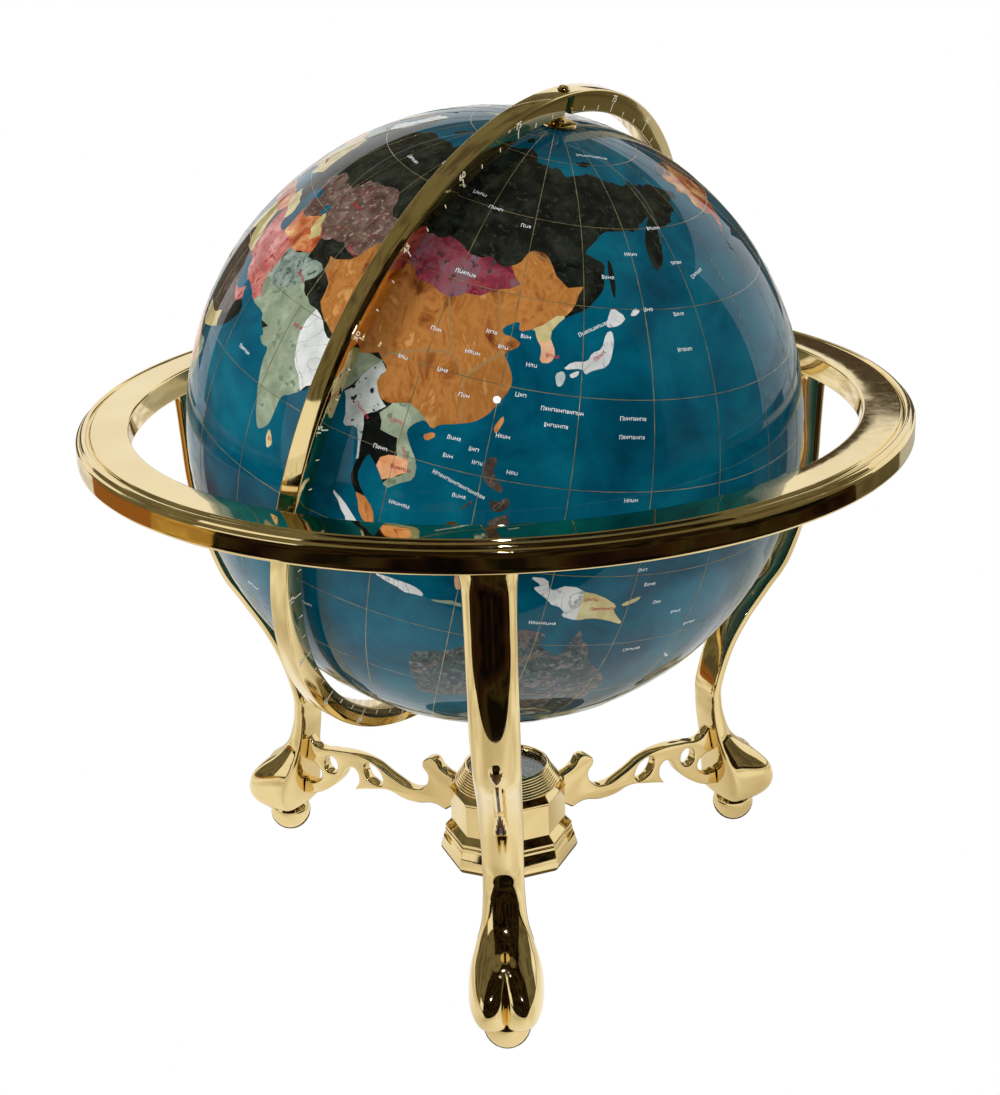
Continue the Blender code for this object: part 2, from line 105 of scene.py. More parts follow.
def set_inputs(shader, **values):
    for key, value in values.items():
        shader.inputs[key.replace("_", " ")].default_value = value


def per_mm(size):
    """The noise scale that gives features of a size in millimetres."""
    return 1.0 / (size * MM)


# Thick clear resin polished flat over the stone: deep colour and a hard wet gloss
LACQUER = {"Roughness": 0.4, "Specular_IOR_Level": 0.0, "Coat_Weight": 1.0,
           "Coat_Roughness": 0.035, "Coat_IOR": 1.34}


def stone(name, tones, cloud, speck=0.0, speck_tone=None, vein=0.0, vein_tone=None,
          tile=0.0, tile_shade=0.0, line=None, grain=0.0):
    """Polished stone inlay: clouds or long grain of its tones, specks, veins or tiles in mm."""
    made, tree, shader = new_material(name)
    place = add(tree, "TexCoord").outputs["Object"]
    if grain:
        place = add(tree, "Mapping", links={"Vector": place}, values={
            "Rotation": (0.5, 0.35, 0.2), "Scale": (1.0, 1.0, grain)}).outputs["Vector"]
    clouds = add(tree, "TexNoise", links={"Vector": place},
                 values={"Scale": per_mm(cloud), "Detail": 6.0, "Roughness": 0.62,
                         "Distortion": 0.5})
    spread = [(0.34 + 0.32 * i / (len(tones) - 1), tone) for i, tone in enumerate(tones)]
    colour = add(tree, "ValToRGB", links={"Fac": clouds.outputs["Fac"]},
                 stops=spread).outputs["Color"]
    overlays = []
    if tile:
        cells = add(tree, "TexVoronoi", links={"Vector": place},
                    values={"Scale": per_mm(tile)})
        shade = add(tree, "SeparateColor", links={"Color": cells.outputs["Color"]})
        dark = add(tree, "MapRange", links={"Value": shade.outputs["Red"]},
                   values={"To Min": 1.0 - tile_shade, "To Max": 1.0 + 0.5 * tile_shade})
        colour = add(tree, "VectorMath", operation="MULTIPLY",
                     links={0: colour, 1: dark.outputs["Result"]}).outputs["Vector"]
        edge = add(tree, "TexVoronoi", feature="DISTANCE_TO_EDGE", links={"Vector": place},
                   values={"Scale": per_mm(tile)})
        overlays.append((edge.outputs["Distance"], line,
                         [(0.004, "ffffff"), (0.012, "000000")]))
    if speck:
        spots = add(tree, "TexNoise", links={"Vector": place},
                    values={"Scale": per_mm(speck), "Detail": 2.0, "Roughness": 0.5})
        overlays.append((spots.outputs["Fac"], speck_tone,
                         [(0.60, "000000"), (0.66, "ffffff")]))
    if vein:
        flow = add(tree, "TexNoise", links={"Vector": place},
                   values={"Scale": per_mm(vein), "Detail": 5.0, "Distortion": 1.6})
        overlays.append((flow.outputs["Fac"], vein_tone,
                         [(0.485, "000000"), (0.5, "ffffff"), (0.515, "000000")]))
    for height, tone, stops in overlays:
        mask = add(tree, "ValToRGB", links={"Fac": height}, stops=stops)
        colour = add(tree, "Mix", data_type="RGBA", values={7: linear(tone)},
                     links={0: mask.outputs["Color"], 6: colour}).outputs[2]
    tree.links.new(colour, shader.inputs["Base Color"])
    set_inputs(shader, **LACQUER)
    return made


def mottled(name, size, tones, detail=2.0, spread=(0.3, 0.7), **inputs):
    """Soft noise of a size in mm between two tones, lacquered unless the inputs say otherwise."""
    made, tree, shader = new_material(name)
    place = add(tree, "TexCoord").outputs["Object"]
    cloud = add(tree, "TexNoise", links={"Vector": place},
                values={"Scale": per_mm(size), "Detail": detail})
    colour = add(tree, "ValToRGB", links={"Fac": cloud.outputs["Fac"]},
                 stops=list(zip(spread, tones)))
    tree.links.new(colour.outputs["Color"], shader.inputs["Base Color"])
    set_inputs(shader, **(inputs or LACQUER))
    return made


STONES = {
    "ocean": stone("reconstituted_blue_stone", ["013e52", "025066", "066478"], 30.0),
    "serpentine": stone("dark_serpentine", ["0c0e0d", "151714", "20241d", "2e3128"], 7.0,
                        speck=2.2, speck_tone="2c3128"),
    "granite": stone("pink_grey_granite", ["40322c", "5e4a42", "7c685e"], 4.0, speck=1.6,
                     speck_tone="94847c", vein=9.0, vein_tone="74302e"),
    "rhodonite": stone("crimson_rhodonite", ["5c1c2e", "80323e", "7a5860", "645460"], 9.0,
                       speck=2.0, speck_tone="44343a", vein=8.0, vein_tone="a03c4e",
                       grain=0.4),
    "jasper": stone("orange_brown_jasper", ["6c3a1c", "9c5e2c", "b87c40", "a4682e", "cc9658"],
                    7.0, tile=24.0, tile_shade=0.2, line="94744a", grain=0.28),
    "amber": stone("orange_aventurine", ["a86a34", "c28248", "d09a5c"], 9.0, speck=2.4,
                   speck_tone="a4602c", grain=0.4),
    "rose": stone("rose_rhodochrosite", ["9c463f", "b86c66", "cc9084"], 6.0, speck=1.8,
                  speck_tone="94303c"),
    "sardonyx": stone("banded_sardonyx", ["8a381c", "ac5634", "cc8e5c", "e0c080"], 9.0),
    "jade": stone("pale_green_jade", ["74826c", "88947c", "a0ac94"], 8.0, speck=2.8,
                  speck_tone="6c7c64"),
    "moss": stone("grey_green_moss_agate", ["465a50", "7e8c80", "9ca89c"], 5.0, speck=1.8,
                  speck_tone="2c463a"),
    "howlite": stone("white_howlite", ["c4c8c4", "d6d8d6", "e2e2e0"], 10.0, vein=14.0,
                     vein_tone="8c9296"),
    "dalmatian": stone("dalmatian_stone", ["9aa29c", "b6bcb8", "c6cac8"], 8.0, speck=2.6,
                       speck_tone="1e2024"),
    "onyx": stone("black_onyx", ["0a0c0c", "121412", "1c1e19"], 8.0),
    "salmon": stone("salmon_calcite", ["cc8450", "da9c70", "e4b48c"], 7.0),
    "cream": stone("cream_yellow_calcite", ["b0a068", "c2b47e", "d2c898"], 8.0),
    "peach": stone("peach_moonstone", ["c8946c", "d8a884", "e2bc9c"], 8.0),
    "umber": stone("umber_marble", ["322a26", "463c34", "5e5048"], 9.0, vein=12.0,
                   vein_tone="74665c"),
    "tiger": stone("brown_tiger_eye", ["2c1c10", "5c4022", "8c6632"], 6.0, grain=0.4),
    "malachite": stone("green_malachite", ["1a4e3c", "286c50", "508c70"], 6.0),
}

# Abalone shell, sliced and polished: swirled iridescent flakes, grey-brown to green and pink
abalone, tree, shader = new_material("abalone_shell")
place = add(tree, "TexCoord").outputs["Object"]
swirl = add(tree, "TexNoise", links={"Vector": place},
            values={"Scale": per_mm(11.0), "Detail": 5.0, "Roughness": 0.6, "Distortion": 2.2})
nacre = add(tree, "ValToRGB", links={"Fac": swirl.outputs["Fac"]},
            stops=[(0.3, "0e181e"), (0.4, "2e3436"), (0.46, "3c4a40"), (0.5, "163844"),
                   (0.56, "544c50"), (0.62, "6a5c50"), (0.7, "1c2a2c")])
flake = add(tree, "TexNoise", links={"Vector": place},
            values={"Scale": per_mm(3.0), "Detail": 3.0, "Distortion": 1.5})
glint = add(tree, "ValToRGB", links={"Fac": flake.outputs["Fac"]},
            stops=[(0.5, "101214"), (0.6, "486a60"), (0.68, "a88494")])
blend = add(tree, "Mix", data_type="RGBA", blend_type="SCREEN", values={0: 0.45},
            links={6: nacre.outputs["Color"], 7: glint.outputs["Color"]})
tree.links.new(blend.outputs[2], shader.inputs["Base Color"])
set_inputs(shader, **{**LACQUER, "Roughness": 0.25, "Metallic": 0.2})
STONES["abalone"] = abalone

# Polished gold plate on cast brass: a pale mirror, with the faint waviness of hand buffing
gold = mottled("polished_gold_plate", 40.0, ("e6cd92", "edd79f"), spread=(0.35, 0.65),
               Metallic=1.0)
tree = gold.node_tree
shader = tree.nodes["Principled BSDF"]
place = tree.nodes["Texture Coordinate"].outputs["Object"]
wear = add(tree, "TexNoise", links={"Vector": place},
           values={"Scale": per_mm(3.5), "Detail": 4.0})
polish = add(tree, "MapRange", links={"Value": wear.outputs["Fac"]},
             values={"From Min": 0.3, "From Max": 0.7, "To Min": 0.035, "To Max": 0.085})
tree.links.new(polish.outputs["Result"], shader.inputs["Roughness"])
wave = add(tree, "TexNoise", links={"Vector": place},
           values={"Scale": per_mm(14.0), "Detail": 1.0})
ripple = add(tree, "Bump", links={"Height": wave.outputs["Fac"]},
             values={"Strength": 0.25, "Distance": 0.00012})
tree.links.new(ripple.outputs["Normal"], shader.inputs["Normal"])

# Relief on the legs: the same plate with a painted dark reflection, standing for the dark room
# mirrored in the raised polished ornament
painted_reflection_gold = mottled("darkened_gold_relief", 2.5, ("2e1a0a", "5e4018"), 3.0, (0.35, 0.65),
                 Metallic=1.0, Roughness=0.16)

# Satin gold of stamped marks: the rough floor of each mark scatters light, so it reads pale
satin = mottled("stamped_satin_gold", 0.4, ("f4e6c0", "fffaec"), Roughness=0.5)

# Drawn brass wire set in the resin: dull yellow lines under the lacquer
brass = mottled("drawn_brass_wire", 6.0, ("6e6a4a", "a89a68"), 3.0, (0.35, 0.65),
                Metallic=0.5, Roughness=0.3, Coat_Weight=1.0, Coat_Roughness=0.02)

# Screw steel, zinc plated: grey with a slight bloom
steel = mottled("zinc_plated_steel", 2.0, ("9a9c98", "c2c4c0"), 4.0, Metallic=1.0,
                Roughness=0.28)

# Moulded black bowl of the compass: slightly uneven satin plastic
black = mottled("moulded_black_plastic", 1.2, ("0c0e10", "1a1c20"), 3.0, Roughness=0.4)

# Label marks: white and red transfer paint under the lacquer
INKS = {name: mottled(name, 1.0, tones)
        for name, tones in (("white_label_paint", ("d8e4e6", "f4f8f8")),
                            ("red_label_paint", ("9a2c34", "c24450")))}

# Extruded aluminium tube: pale grey with soft lengthwise streaks
aluminium, tree, shader = new_material("extruded_aluminium")
place = add(tree, "TexCoord").outputs["Object"]
along = add(tree, "Mapping", links={"Vector": place}, values={"Scale": (1.0, 1.0, 0.05)})
streak = add(tree, "TexNoise", links={"Vector": along.outputs["Vector"]},
             values={"Scale": per_mm(0.8), "Detail": 2.0})
pale = add(tree, "ValToRGB", links={"Fac": streak.outputs["Fac"]},
           stops=[(0.3, "a6a9ab"), (0.7, "c8cacb")])
tree.links.new(pale.outputs["Color"], shader.inputs["Base Color"])
set_inputs(shader, Metallic=1.0, Roughness=0.35)

# Printed compass card: near black with fine pale circles
CARD_RADIUS = 0.0148
card_ink, tree, shader = new_material("printed_compass_card")
place = add(tree, "TexCoord").outputs["Object"]
flat = add(tree, "VectorMath", operation="MULTIPLY", links={0: place},
           values={1: (1.0, 1.0, 0.0)})
reach = add(tree, "VectorMath", operation="LENGTH", links={0: flat.outputs["Vector"]})
rings = add(tree, "ValToRGB")
rings.color_ramp.interpolation = "CONSTANT"
rings_in = add(tree, "Math", operation="DIVIDE", links={0: reach.outputs["Value"]},
               values={1: CARD_RADIUS})
tree.links.new(rings_in.outputs["Value"], rings.inputs["Fac"])
for position, code in ((0.0, "20262e"), (0.30, "c8c6b4"), (0.325, "1a2430"),
                       (0.56, "c8c6b4"), (0.58, "141c26"), (0.76, "c8c6b4"),
                       (0.785, "10161e"), (0.93, "c8c6b4"), (0.95, "10141a")):
    element = rings.color_ramp.elements.new(position)
    element.color = linear(code)
tree.links.new(rings.outputs["Color"], shader.inputs["Base Color"])
set_inputs(shader, Roughness=0.35)

# Needle: steel let down to a pale blue-grey, with its north half lacquered red
needle_paint, tree, shader = new_material("blued_and_red_needle")
place = add(tree, "TexCoord").outputs["Object"]
parts = add(tree, "SeparateXYZ", links={"Vector": place})
half = add(tree, "Math", operation="GREATER_THAN", links={0: parts.outputs["Y"]},
           values={1: 0.0})
two_tone = add(tree, "ValToRGB", links={"Fac": half.outputs["Value"]},
               stops=[(0.0, "c9ccd0"), (1.0, "b0241c")])
tree.links.new(two_tone.outputs["Color"], shader.inputs["Base Color"])
set_inputs(shader, Metallic=0.4, Roughness=0.3)

# Float glass disc: clear, with the faintest green and fine polishing haze
glass, tree, shader = new_material("compass_glass_disc")
place = add(tree, "TexCoord").outputs["Object"]
haze = add(tree, "TexNoise", links={"Vector": place},
           values={"Scale": per_mm(4.0), "Detail": 2.0})
clear = add(tree, "MapRange", links={"Value": haze.outputs["Fac"]},
            values={"To Min": 0.0, "To Max": 0.02})
tree.links.new(clear.outputs["Result"], shader.inputs["Roughness"])
set_inputs(shader, Base_Color=linear("f2fbf8"), IOR=1.5, Transmission_Weight=1.0)


# Modelling helpers

def pick(*items):
    """Selects these objects and no others, the first one active."""
    bpy.ops.object.select_all(action="DESELECT")
    for item in items:
        item.select_set(True)
    bpy.context.view_layer.objects.active = items[0]


def begin(name, primitive, **settings):
    """Adds a primitive on its own, named and selected, with its place in its mesh."""
    bpy.ops.object.select_all(action="DESELECT")
    getattr(bpy.ops.mesh, "primitive_" + primitive + "_add")(**settings)
    bpy.ops.object.transform_apply()
    item = bpy.context.object
    item.name = name
    item.data.name = name
    return item


def box(name, size, place):
    """Adds a box of a size at a place, both in mm."""
    return begin(name, "cube", size=1.0, scale=[value * MM for value in size],
                 location=[value * MM for value in place])


def linked(name, data):
    """A new object of this data, linked to the scene."""
    item = bpy.data.objects.new(name, data)
    bpy.context.scene.collection.objects.link(item)
    return item


def joined(items, name):
    """Joins the pieces into the first one and names it."""
    pick(*items)
    bpy.ops.object.join()
    items[0].name = name
    return items[0]


def apply_step(item, kind, **settings):
    """Adds a modifier and applies it at once."""
    pick(item)
    step = item.modifiers.new(kind.lower(), kind)
    for key, value in settings.items():
        setattr(step, key, value)
    bpy.ops.object.modifier_apply(modifier=step.name)


def smooth(item, angle=32.0):
    pick(item)
    bpy.ops.object.shade_smooth_by_angle(angle=math.radians(angle))


def soften(item, width):
    """Rounds the sharp edges by a width in mm and shades the rest smooth."""
    apply_step(item, "BEVEL", width=width * MM, segments=2, limit_method="ANGLE",
               angle_limit=math.radians(28.0), harden_normals=False)
    smooth(item)


def turned(name, profile, segments, closed=False):
    """Extrudes a circle along (radius, height) points; closed joins the last to the first."""
    radius, height = profile[0]
    item = begin(name, "circle", vertices=segments, radius=radius * MM,
                 location=(0.0, 0.0, height * MM))
    bpy.ops.object.mode_set(mode="EDIT")
    for (near, low), (far, high) in zip(profile, profile[1:]):
        bpy.ops.mesh.extrude_region_move(
            TRANSFORM_OT_translate={"value": (0.0, 0.0, (high - low) * MM)})
        bpy.ops.transform.resize(value=(far / near, far / near, 1.0),
                                 center_override=(0.0, 0.0, 0.0))
    bpy.ops.object.mode_set(mode="OBJECT")
    first = range(segments)
    last = range(len(item.data.vertices) - segments, len(item.data.vertices))
    for ends in ([[*first, *last]] if closed else [first, last]):
        chosen = set(ends)
        for edge in item.data.edges:
            edge.select = edge.vertices[0] in chosen and edge.vertices[1] in chosen
        for vertex in item.data.vertices:
            vertex.select = vertex.index in chosen
        for face in item.data.polygons:
            face.select = False
        bpy.ops.object.mode_set(mode="EDIT")
        if closed:
            bpy.ops.mesh.bridge_edge_loops()
        else:
            bpy.ops.mesh.edge_face_add()
        bpy.ops.object.mode_set(mode="OBJECT")
    tidy(item)
    return item


def tidy(item):
    """Merges doubled points and turns every face outwards."""
    bpy.ops.object.mode_set(mode="EDIT")
    bpy.ops.mesh.select_all(action="SELECT")
    bpy.ops.mesh.remove_doubles(threshold=0.000001)
    bpy.ops.mesh.normals_make_consistent(inside=False)
    bpy.ops.object.mode_set(mode="OBJECT")


def carve(item, cutter):
    """Cuts one solid from another and removes the cutter."""
    apply_step(item, "BOOLEAN", operation="DIFFERENCE", solver="EXACT", object=cutter)
    bpy.data.objects.remove(cutter, do_unlink=True)


def copy_of(item, name):
    """A copy with its own mesh."""
    twin = item.copy()
    twin.data = item.data.copy()
    twin.name = name
    twin.data.name = name
    bpy.context.scene.collection.objects.link(twin)
    return twin


def fit(item, body, material, place=None, replaces=(), second=None):
    """Puts a finished mesh in its place and tells the frame what it is.

    Faces with material index 1 get the second material."""
    if place:
        item.data.transform(place)
    for layer in range(2 if second else 1):
        if len(item.data.materials) <= layer:
            item.data.materials.append(None)
        item.data.materials[layer] = second if layer else material
    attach(item, body)
    if replaces:
        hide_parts(*replaces)


def round_corner(centre, radius, start, end, steps):
    """Points of an arc in a profile, angles in degrees from the outward direction."""
    points = []
    for i in range(steps + 1):
        angle = math.radians(start + (end - start) * i / steps)
        points.append((centre[0] + radius * math.cos(angle),
                       centre[1] + radius * math.sin(angle)))
    return points


# Horizon ring, heights from the globe's centre

RING_SEGMENTS = 288
ring_profile = (
    round_corner((130.9, 5.6), 1.0, 180, 90, 5)
    + [(136.0, 6.6), (142.6, 6.6)]
    + round_corner((142.7, 5.9), 0.7, 90, 0, 4)
    + [(143.7, 5.6), (144.3, 5.6)]
    + round_corner((145.6, 5.2), 1.25, 165, 15, 6)
    + [(147.0, 4.9)]
    + round_corner((147.1, 3.7), 1.2, 80, 0, 5)
    + [(148.3, 2.0), (148.3, -1.0)]
    + round_corner((147.3, -2.0), 1.0, 0, -90, 5)
    + [(140.0, -3.0)]
    + round_corner((130.7, -2.2), 0.8, -90, -180, 4)
)
ring = turned("horizon_ring_cast", ring_profile, RING_SEGMENTS, closed=True)
smooth(ring, 40.0)
fit(ring, "stand", gold, CENTRE_PLACE, ["horizon_ring"])

# Meridian ring, about the local Y axis of the swing frame

INNER, OUTER, HALF = 114.1, 121.9, 3.55
POLE_SLOT, SINK_RADIUS = (4.5, 7.0, 9.0), 2.25
ring_profile = (
    round_corner((INNER + 0.4, HALF - 0.4), 0.4, 180, 90, 3)
    + round_corner((OUTER - 0.5, HALF - 0.5), 0.5, 90, 0, 3)
    + round_corner((OUTER - 0.5, 0.5 - HALF), 0.5, 0, -90, 3)
    + round_corner((INNER + 0.4, 0.4 - HALF), 0.4, -90, -180, 3)
)
meridian = turned("meridian_ring_cast", ring_profile, RING_SEGMENTS, closed=True)
meridian.data.transform(turn_x(-90.0))
for pole in (1.0, -1.0):
    cutter = box("pole_slot", POLE_SLOT, (0.0, 1.4, pole * 116.2))
    bpy.ops.object.mode_set(mode="EDIT")
    bpy.ops.mesh.bevel(offset=0.6 * MM, segments=3, affect="EDGES")
    bpy.ops.object.mode_set(mode="OBJECT")
    carve(meridian, cutter)
    cutter = begin("screw_sink", "cylinder", vertices=32, radius=SINK_RADIUS * MM,
                   depth=3.0 * MM, location=(0.0, 0.0, pole * (OUTER + 0.9) * MM))
    carve(meridian, cutter)
smooth(meridian, 35.0)
fit(meridian, "meridian", gold, SWING, ["meridian_ring"])

# Degree scale on both faces of the meridian ring: a mark every five degrees, numbered at fifteen
RELIEF, MARK_WIDTH, LONG_MARK, SHORT_MARK = 0.06, 0.42, 3.4, 1.6
DIGIT_HEIGHT, DIGIT_REACH = 3.3, INNER + 4.3
marks = []
for face in (1.0, -1.0):
    for step in range(0, 360, 5):
        away = min(abs(step % 180), 180 - step % 180)
        numbered = step % 15 == 0
        if step % 180 == 90:
            continue
        length = LONG_MARK if numbered else SHORT_MARK
        mark = box("degree_mark", (length, 2.0 * RELIEF, MARK_WIDTH),
                   (INNER + 0.7 + 0.5 * length, face * HALF, 0.0))
        mark.data.transform(turn_y(-step))
        marks.append(mark)
        if numbered and step % 180:
            bpy.ops.object.select_all(action="DESELECT")
            bpy.ops.object.text_add()
            digits = bpy.context.object
            digits.name = "degree_digits"
            digits.data.body = str(away)
            digits.data.size = DIGIT_HEIGHT * MM
            digits.data.extrude = RELIEF * MM
            digits.data.offset = 0.05 * MM
            digits.data.align_x = "CENTER"
            digits.data.resolution_u = 3
            bpy.ops.object.convert(target="MESH")
            digits = bpy.context.object
            upright = turn_x(90.0) if face < 0 else turn_z(180.0) @ turn_x(90.0)
            stand_off = Matrix.Translation((0.0, face * HALF * MM, DIGIT_REACH * MM))
            digits.data.transform(turn_y(90.0 - step) @ stand_off @ upright)
            marks.append(digits)
scale_marks = joined(marks, "meridian_degree_scale")
fit(scale_marks, "meridian", satin, SWING)

# Pole pins, their screws and the globe's flanged caps

for side, place in (("north", SWING), ("south", SWING @ turn_x(180.0))):
    pin = turned("pole_pin_turned_" + side,
                 [(1.7, 120.4), (1.95, 120.1), (1.95, 116.0), (1.78, 115.8), (1.78, 115.3),
                  (1.95, 115.1), (1.95, 113.2), (1.7, 112.8), (1.2, 112.7), (1.2, 99.0)], 40)
    smooth(pin)
    fit(pin, "meridian", gold, place, ["pole_pin_" + side])
    screw = turned("pole_screw_domed_" + side,
                   [(0.5, 123.4), (1.1, 123.3), (1.6, 123.0), (1.9, 122.6), (2.0, 122.2),
                    (0.9, 122.2), (0.9, 117.0)], 40)
    carve(screw, box("drive_slot", (5.0, 0.5, 0.8), (0.0, 0.0, 123.4)))
    smooth(screw)
    fit(screw, "meridian", gold, place, ["pole_screw_" + side])
    cap = turned("pole_cap_turned_" + side,
                 [(1.3, 112.5), (2.6, 112.5), (2.9, 112.2), (2.95, 111.8), (3.3, 111.5),
                  (4.6, 111.45), (5.4, 111.25), (6.3, 111.2), (6.7, 110.95), (6.8, 110.6),
                  (6.8, 110.3), (3.2, 110.3), (3.2, 98.0), (1.3, 98.0)], 64, closed=True)
    smooth(cap)
    fit(cap, "globe", gold, place, ["pole_cap_" + side])

# Level screws and spacers that carry the meridian ring

for side, angle in (("front", 90.0), ("rear", -90.0)):
    place = SWING @ turn_y(angle)
    spacer = turned("pivot_spacer_turned_" + side,
                    [(1.8, 129.6), (2.5, 129.6), (2.7, 129.4), (2.7, 128.4), (2.35, 128.0),
                     (2.35, 124.0), (2.7, 123.6), (2.7, 122.4), (2.5, 122.2), (1.8, 122.2)],
                    40, closed=True)
    smooth(spacer)
    fit(spacer, "stand", gold, place, ["pivot_spacer_" + side])
    screw = turned("pivot_screw_turned_" + side,
                   [(1.5, 136.6), (1.5, 113.8), (2.8, 113.8), (2.8, 113.0), (2.5, 112.4),
                    (1.9, 112.05), (1.0, 112.0)], 40)
    smooth(screw)
    fit(screw, "stand", steel, place, ["pivot_screw_" + side])

# Legs: the inner and the outer line as (reach, height), the half width and how far the toes part

LEG_STATIONS = [
    ((137.5, 189.4), (146.8, 189.4), 9.6, 0.0), ((137.9, 183.0), (145.6, 183.0), 8.5, 0.0),
    ((137.4, 168.0), (144.4, 168.0), 8.2, 0.0), ((136.2, 149.5), (143.0, 149.0), 8.0, 0.0),
    ((132.0, 132.6), (138.3, 130.6), 8.0, 0.0), ((124.3, 114.7), (129.8, 111.3), 7.8, 0.0),
    ((115.1, 104.6), (119.9, 100.3), 7.7, 0.0), ((104.9, 93.2), (110.0, 89.3), 7.5, 0.0),
    ((97.2, 81.2), (102.9, 78.3), 7.4, 0.0), ((91.8, 65.6), (98.2, 65.0), 7.2, 0.0),
    ((91.4, 57.0), (98.1, 57.0), 7.1, 0.0), ((91.8, 50.0), (99.8, 49.7), 7.3, 0.0),
    ((93.18, 42.0), (102.9, 42.4), 8.0, 0.0), ((94.6, 34.7), (108.6, 36.2), 10.0, 0.0),
    ((95.8, 28.7), (115.4, 30.4), 11.9, 0.45), ((96.6, 23.8), (119.6, 25.2), 12.8, 0.85),
    ((97.0, 19.6), (121.4, 19.8), 13.0, 0.95), ((97.2, 16.2), (120.8, 15.6), 12.6, 0.95),
    ((97.6, 13.8), (118.6, 13.0), 11.2, 0.9), ((99.0, 12.6), (114.8, 11.8), 8.6, 0.8),
]
STEPS_PER_STATION, SECTION_POINTS = 20, 120
FRONT_FROM, TOE_CLEFT = 0.26, 0.2        # where the front half begins; depth between the toes
FOOT_REACH, BALL_HEIGHT = 106.4, 8.0
HEART, HEART_HALF = 116.2, 3.6           # heights of the ornament on the leg's face
STEM_FOOT, STEM_TOP = 93.0, 112.5
WEDGE_FOOT, WEDGE_TOP = 79.5, 92.5
KNUCKLE = 34.0
DARK_FROM, DARK_FOOT = 0.22, 70.0        # relief this high, above this height, gets the painted dark reflection


def between(rows, position):
    """A smooth curve through rows of numbers, read at a fractional row position."""
    last = len(rows) - 1
    i = min(int(position), last - 1)
    t = position - i
    before, start, end, after = (rows[max(0, min(last, k))] for k in (i - 1, i, i + 1, i + 2))
    result = []
    for a, b, c, d in zip(before, start, end, after):
        result.append(0.5 * (2 * b + (c - a) * t + (2 * a - 5 * b + 4 * c - d) * t * t
                             + (3 * b - a - 3 * c + d) * t ** 3))
    return result


def relief(side, height):
    """Height in mm of the raised ornament: a heart, a stem, a split wedge and a knuckle."""
    raised = 0.0
    drop = (height - HEART) / HEART_HALF
    if abs(drop) < 1.0:
        width = 2.1 * math.sqrt(1.0 - drop * drop) * (1.0 + 0.45 * drop)
        notch = 0.35 * math.exp(-(side / 0.5) ** 2) if drop > 0.45 else 0.0
        raised = max(0.0, 1.0 - (side / max(width, 0.05)) ** 2) ** 0.5 * 1.3 * (1.0 - notch)
    if STEM_FOOT < height < STEM_TOP:
        fade = min(1.0, (height - STEM_FOOT) / 2.0, (STEM_TOP - height) / 2.0)
        raised = max(raised, 0.6 * fade * max(0.0, 1.0 - (side / 0.8) ** 2) ** 0.5)
    if WEDGE_FOOT < height < WEDGE_TOP:
        drop = (WEDGE_TOP - height) / (WEDGE_TOP - WEDGE_FOOT)
        width = 0.6 + 1.8 * drop
        split = 0.8 * math.exp(-(side / 0.5) ** 2) * drop
        fade = min(1.0, (height - WEDGE_FOOT) / 1.2)
        raised = max(raised, 0.9 * fade * (1.0 - split)
                     * max(0.0, 1.0 - (side / width) ** 2) ** 0.5)
    near = (side / 4.0) ** 2 + ((height - KNUCKLE) / 3.6) ** 2
    return max(raised, 1.2 * max(0.0, 1.0 - near) ** 2)


rows = [(*inner, *outer, half, toes) for inner, outer, half, toes in LEG_STATIONS]
mesh = bpy.data.meshes.new("leg_cast")
work = bmesh.new()
loops, dark = [], set()
for step in range((len(rows) - 1) * STEPS_PER_STATION + 1):
    x0, z0, x1, z1, half, toes = between(rows, step / STEPS_PER_STATION)
    start = Vector((x0, z0))
    depth = Vector((x1, z1)) - start
    out = depth.normalized()
    loop = []
    for i in range(SECTION_POINTS):
        angle = 2.0 * math.pi * i / SECTION_POINTS
        front, side = math.cos(angle), math.sin(angle)
        side = math.copysign(abs(side) ** 0.9, side)
        if front > 0.0:
            way = FRONT_FROM + (1.0 - FRONT_FROM) * front
            bend = math.sqrt(max(0.0, 1.0 - (2.0 * abs(side) - 1.0) ** 2))
            toe = (1.0 - TOE_CLEFT * (1.0 - bend) if abs(side) < 0.5
                   else FRONT_FROM + (1.0 - FRONT_FROM) * bend)
            way += toes * (toe - way)
        else:
            way = FRONT_FROM * (1.0 - abs(front) ** 0.4)
        point = start + depth * way
        if front > 0.5:
            raised = relief(side * half, point.y)
            # The raised ornament's faces get the painted reflection of the dark room
            if raised > DARK_FROM and point.y > DARK_FOOT:
                dark.add((len(loops), i))
            point += out * raised
        loop.append(work.verts.new(Vector((point.x, side * half, point.y)) * MM))
    loops.append(loop)
for row, (upper, lower) in enumerate(zip(loops, loops[1:])):
    for i in range(SECTION_POINTS):
        j = (i + 1) % SECTION_POINTS
        face = work.faces.new((upper[i], upper[j], lower[j], lower[i]))
        if {(row, i), (row, j), (row + 1, i), (row + 1, j)} <= dark:
            face.material_index = 1
work.faces.new(loops[0])
work.faces.new(loops[-1])
bmesh.ops.recalc_face_normals(work, faces=work.faces)
work.to_mesh(mesh)
work.free()
leg = linked("leg_cast", mesh)
socket = begin("ball_socket", "uv_sphere", segments=48, ring_count=24, radius=8.5 * MM,
               location=(FOOT_REACH * MM, 0.0, BALL_HEIGHT * MM))
carve(leg, socket)
smooth(leg, 50.0)

# Ball feet and scroll arms

foot_profile = ([(1.8, 0.0)] + round_corner((0.0, BALL_HEIGHT), 8.2, -77, 72, 14)
                + [(1.8, 16.2), (1.8, 25.0)])
ball = turned("ball_foot_turned", foot_profile, 64)
smooth(ball)
ball.data.transform(Matrix.Translation((FOOT_REACH * MM, 0.0, 0.0)))

SEAT_TOP, SEAT_REACH, SEAT_SLOPE, ARM_END = 50.0, 91.8, 0.172, 23.5


def seat(height):
    """Reach of an arm's leg end at a height, where it meets the back of the leg."""
    return SEAT_REACH + (SEAT_TOP - height) * SEAT_SLOPE - 0.1


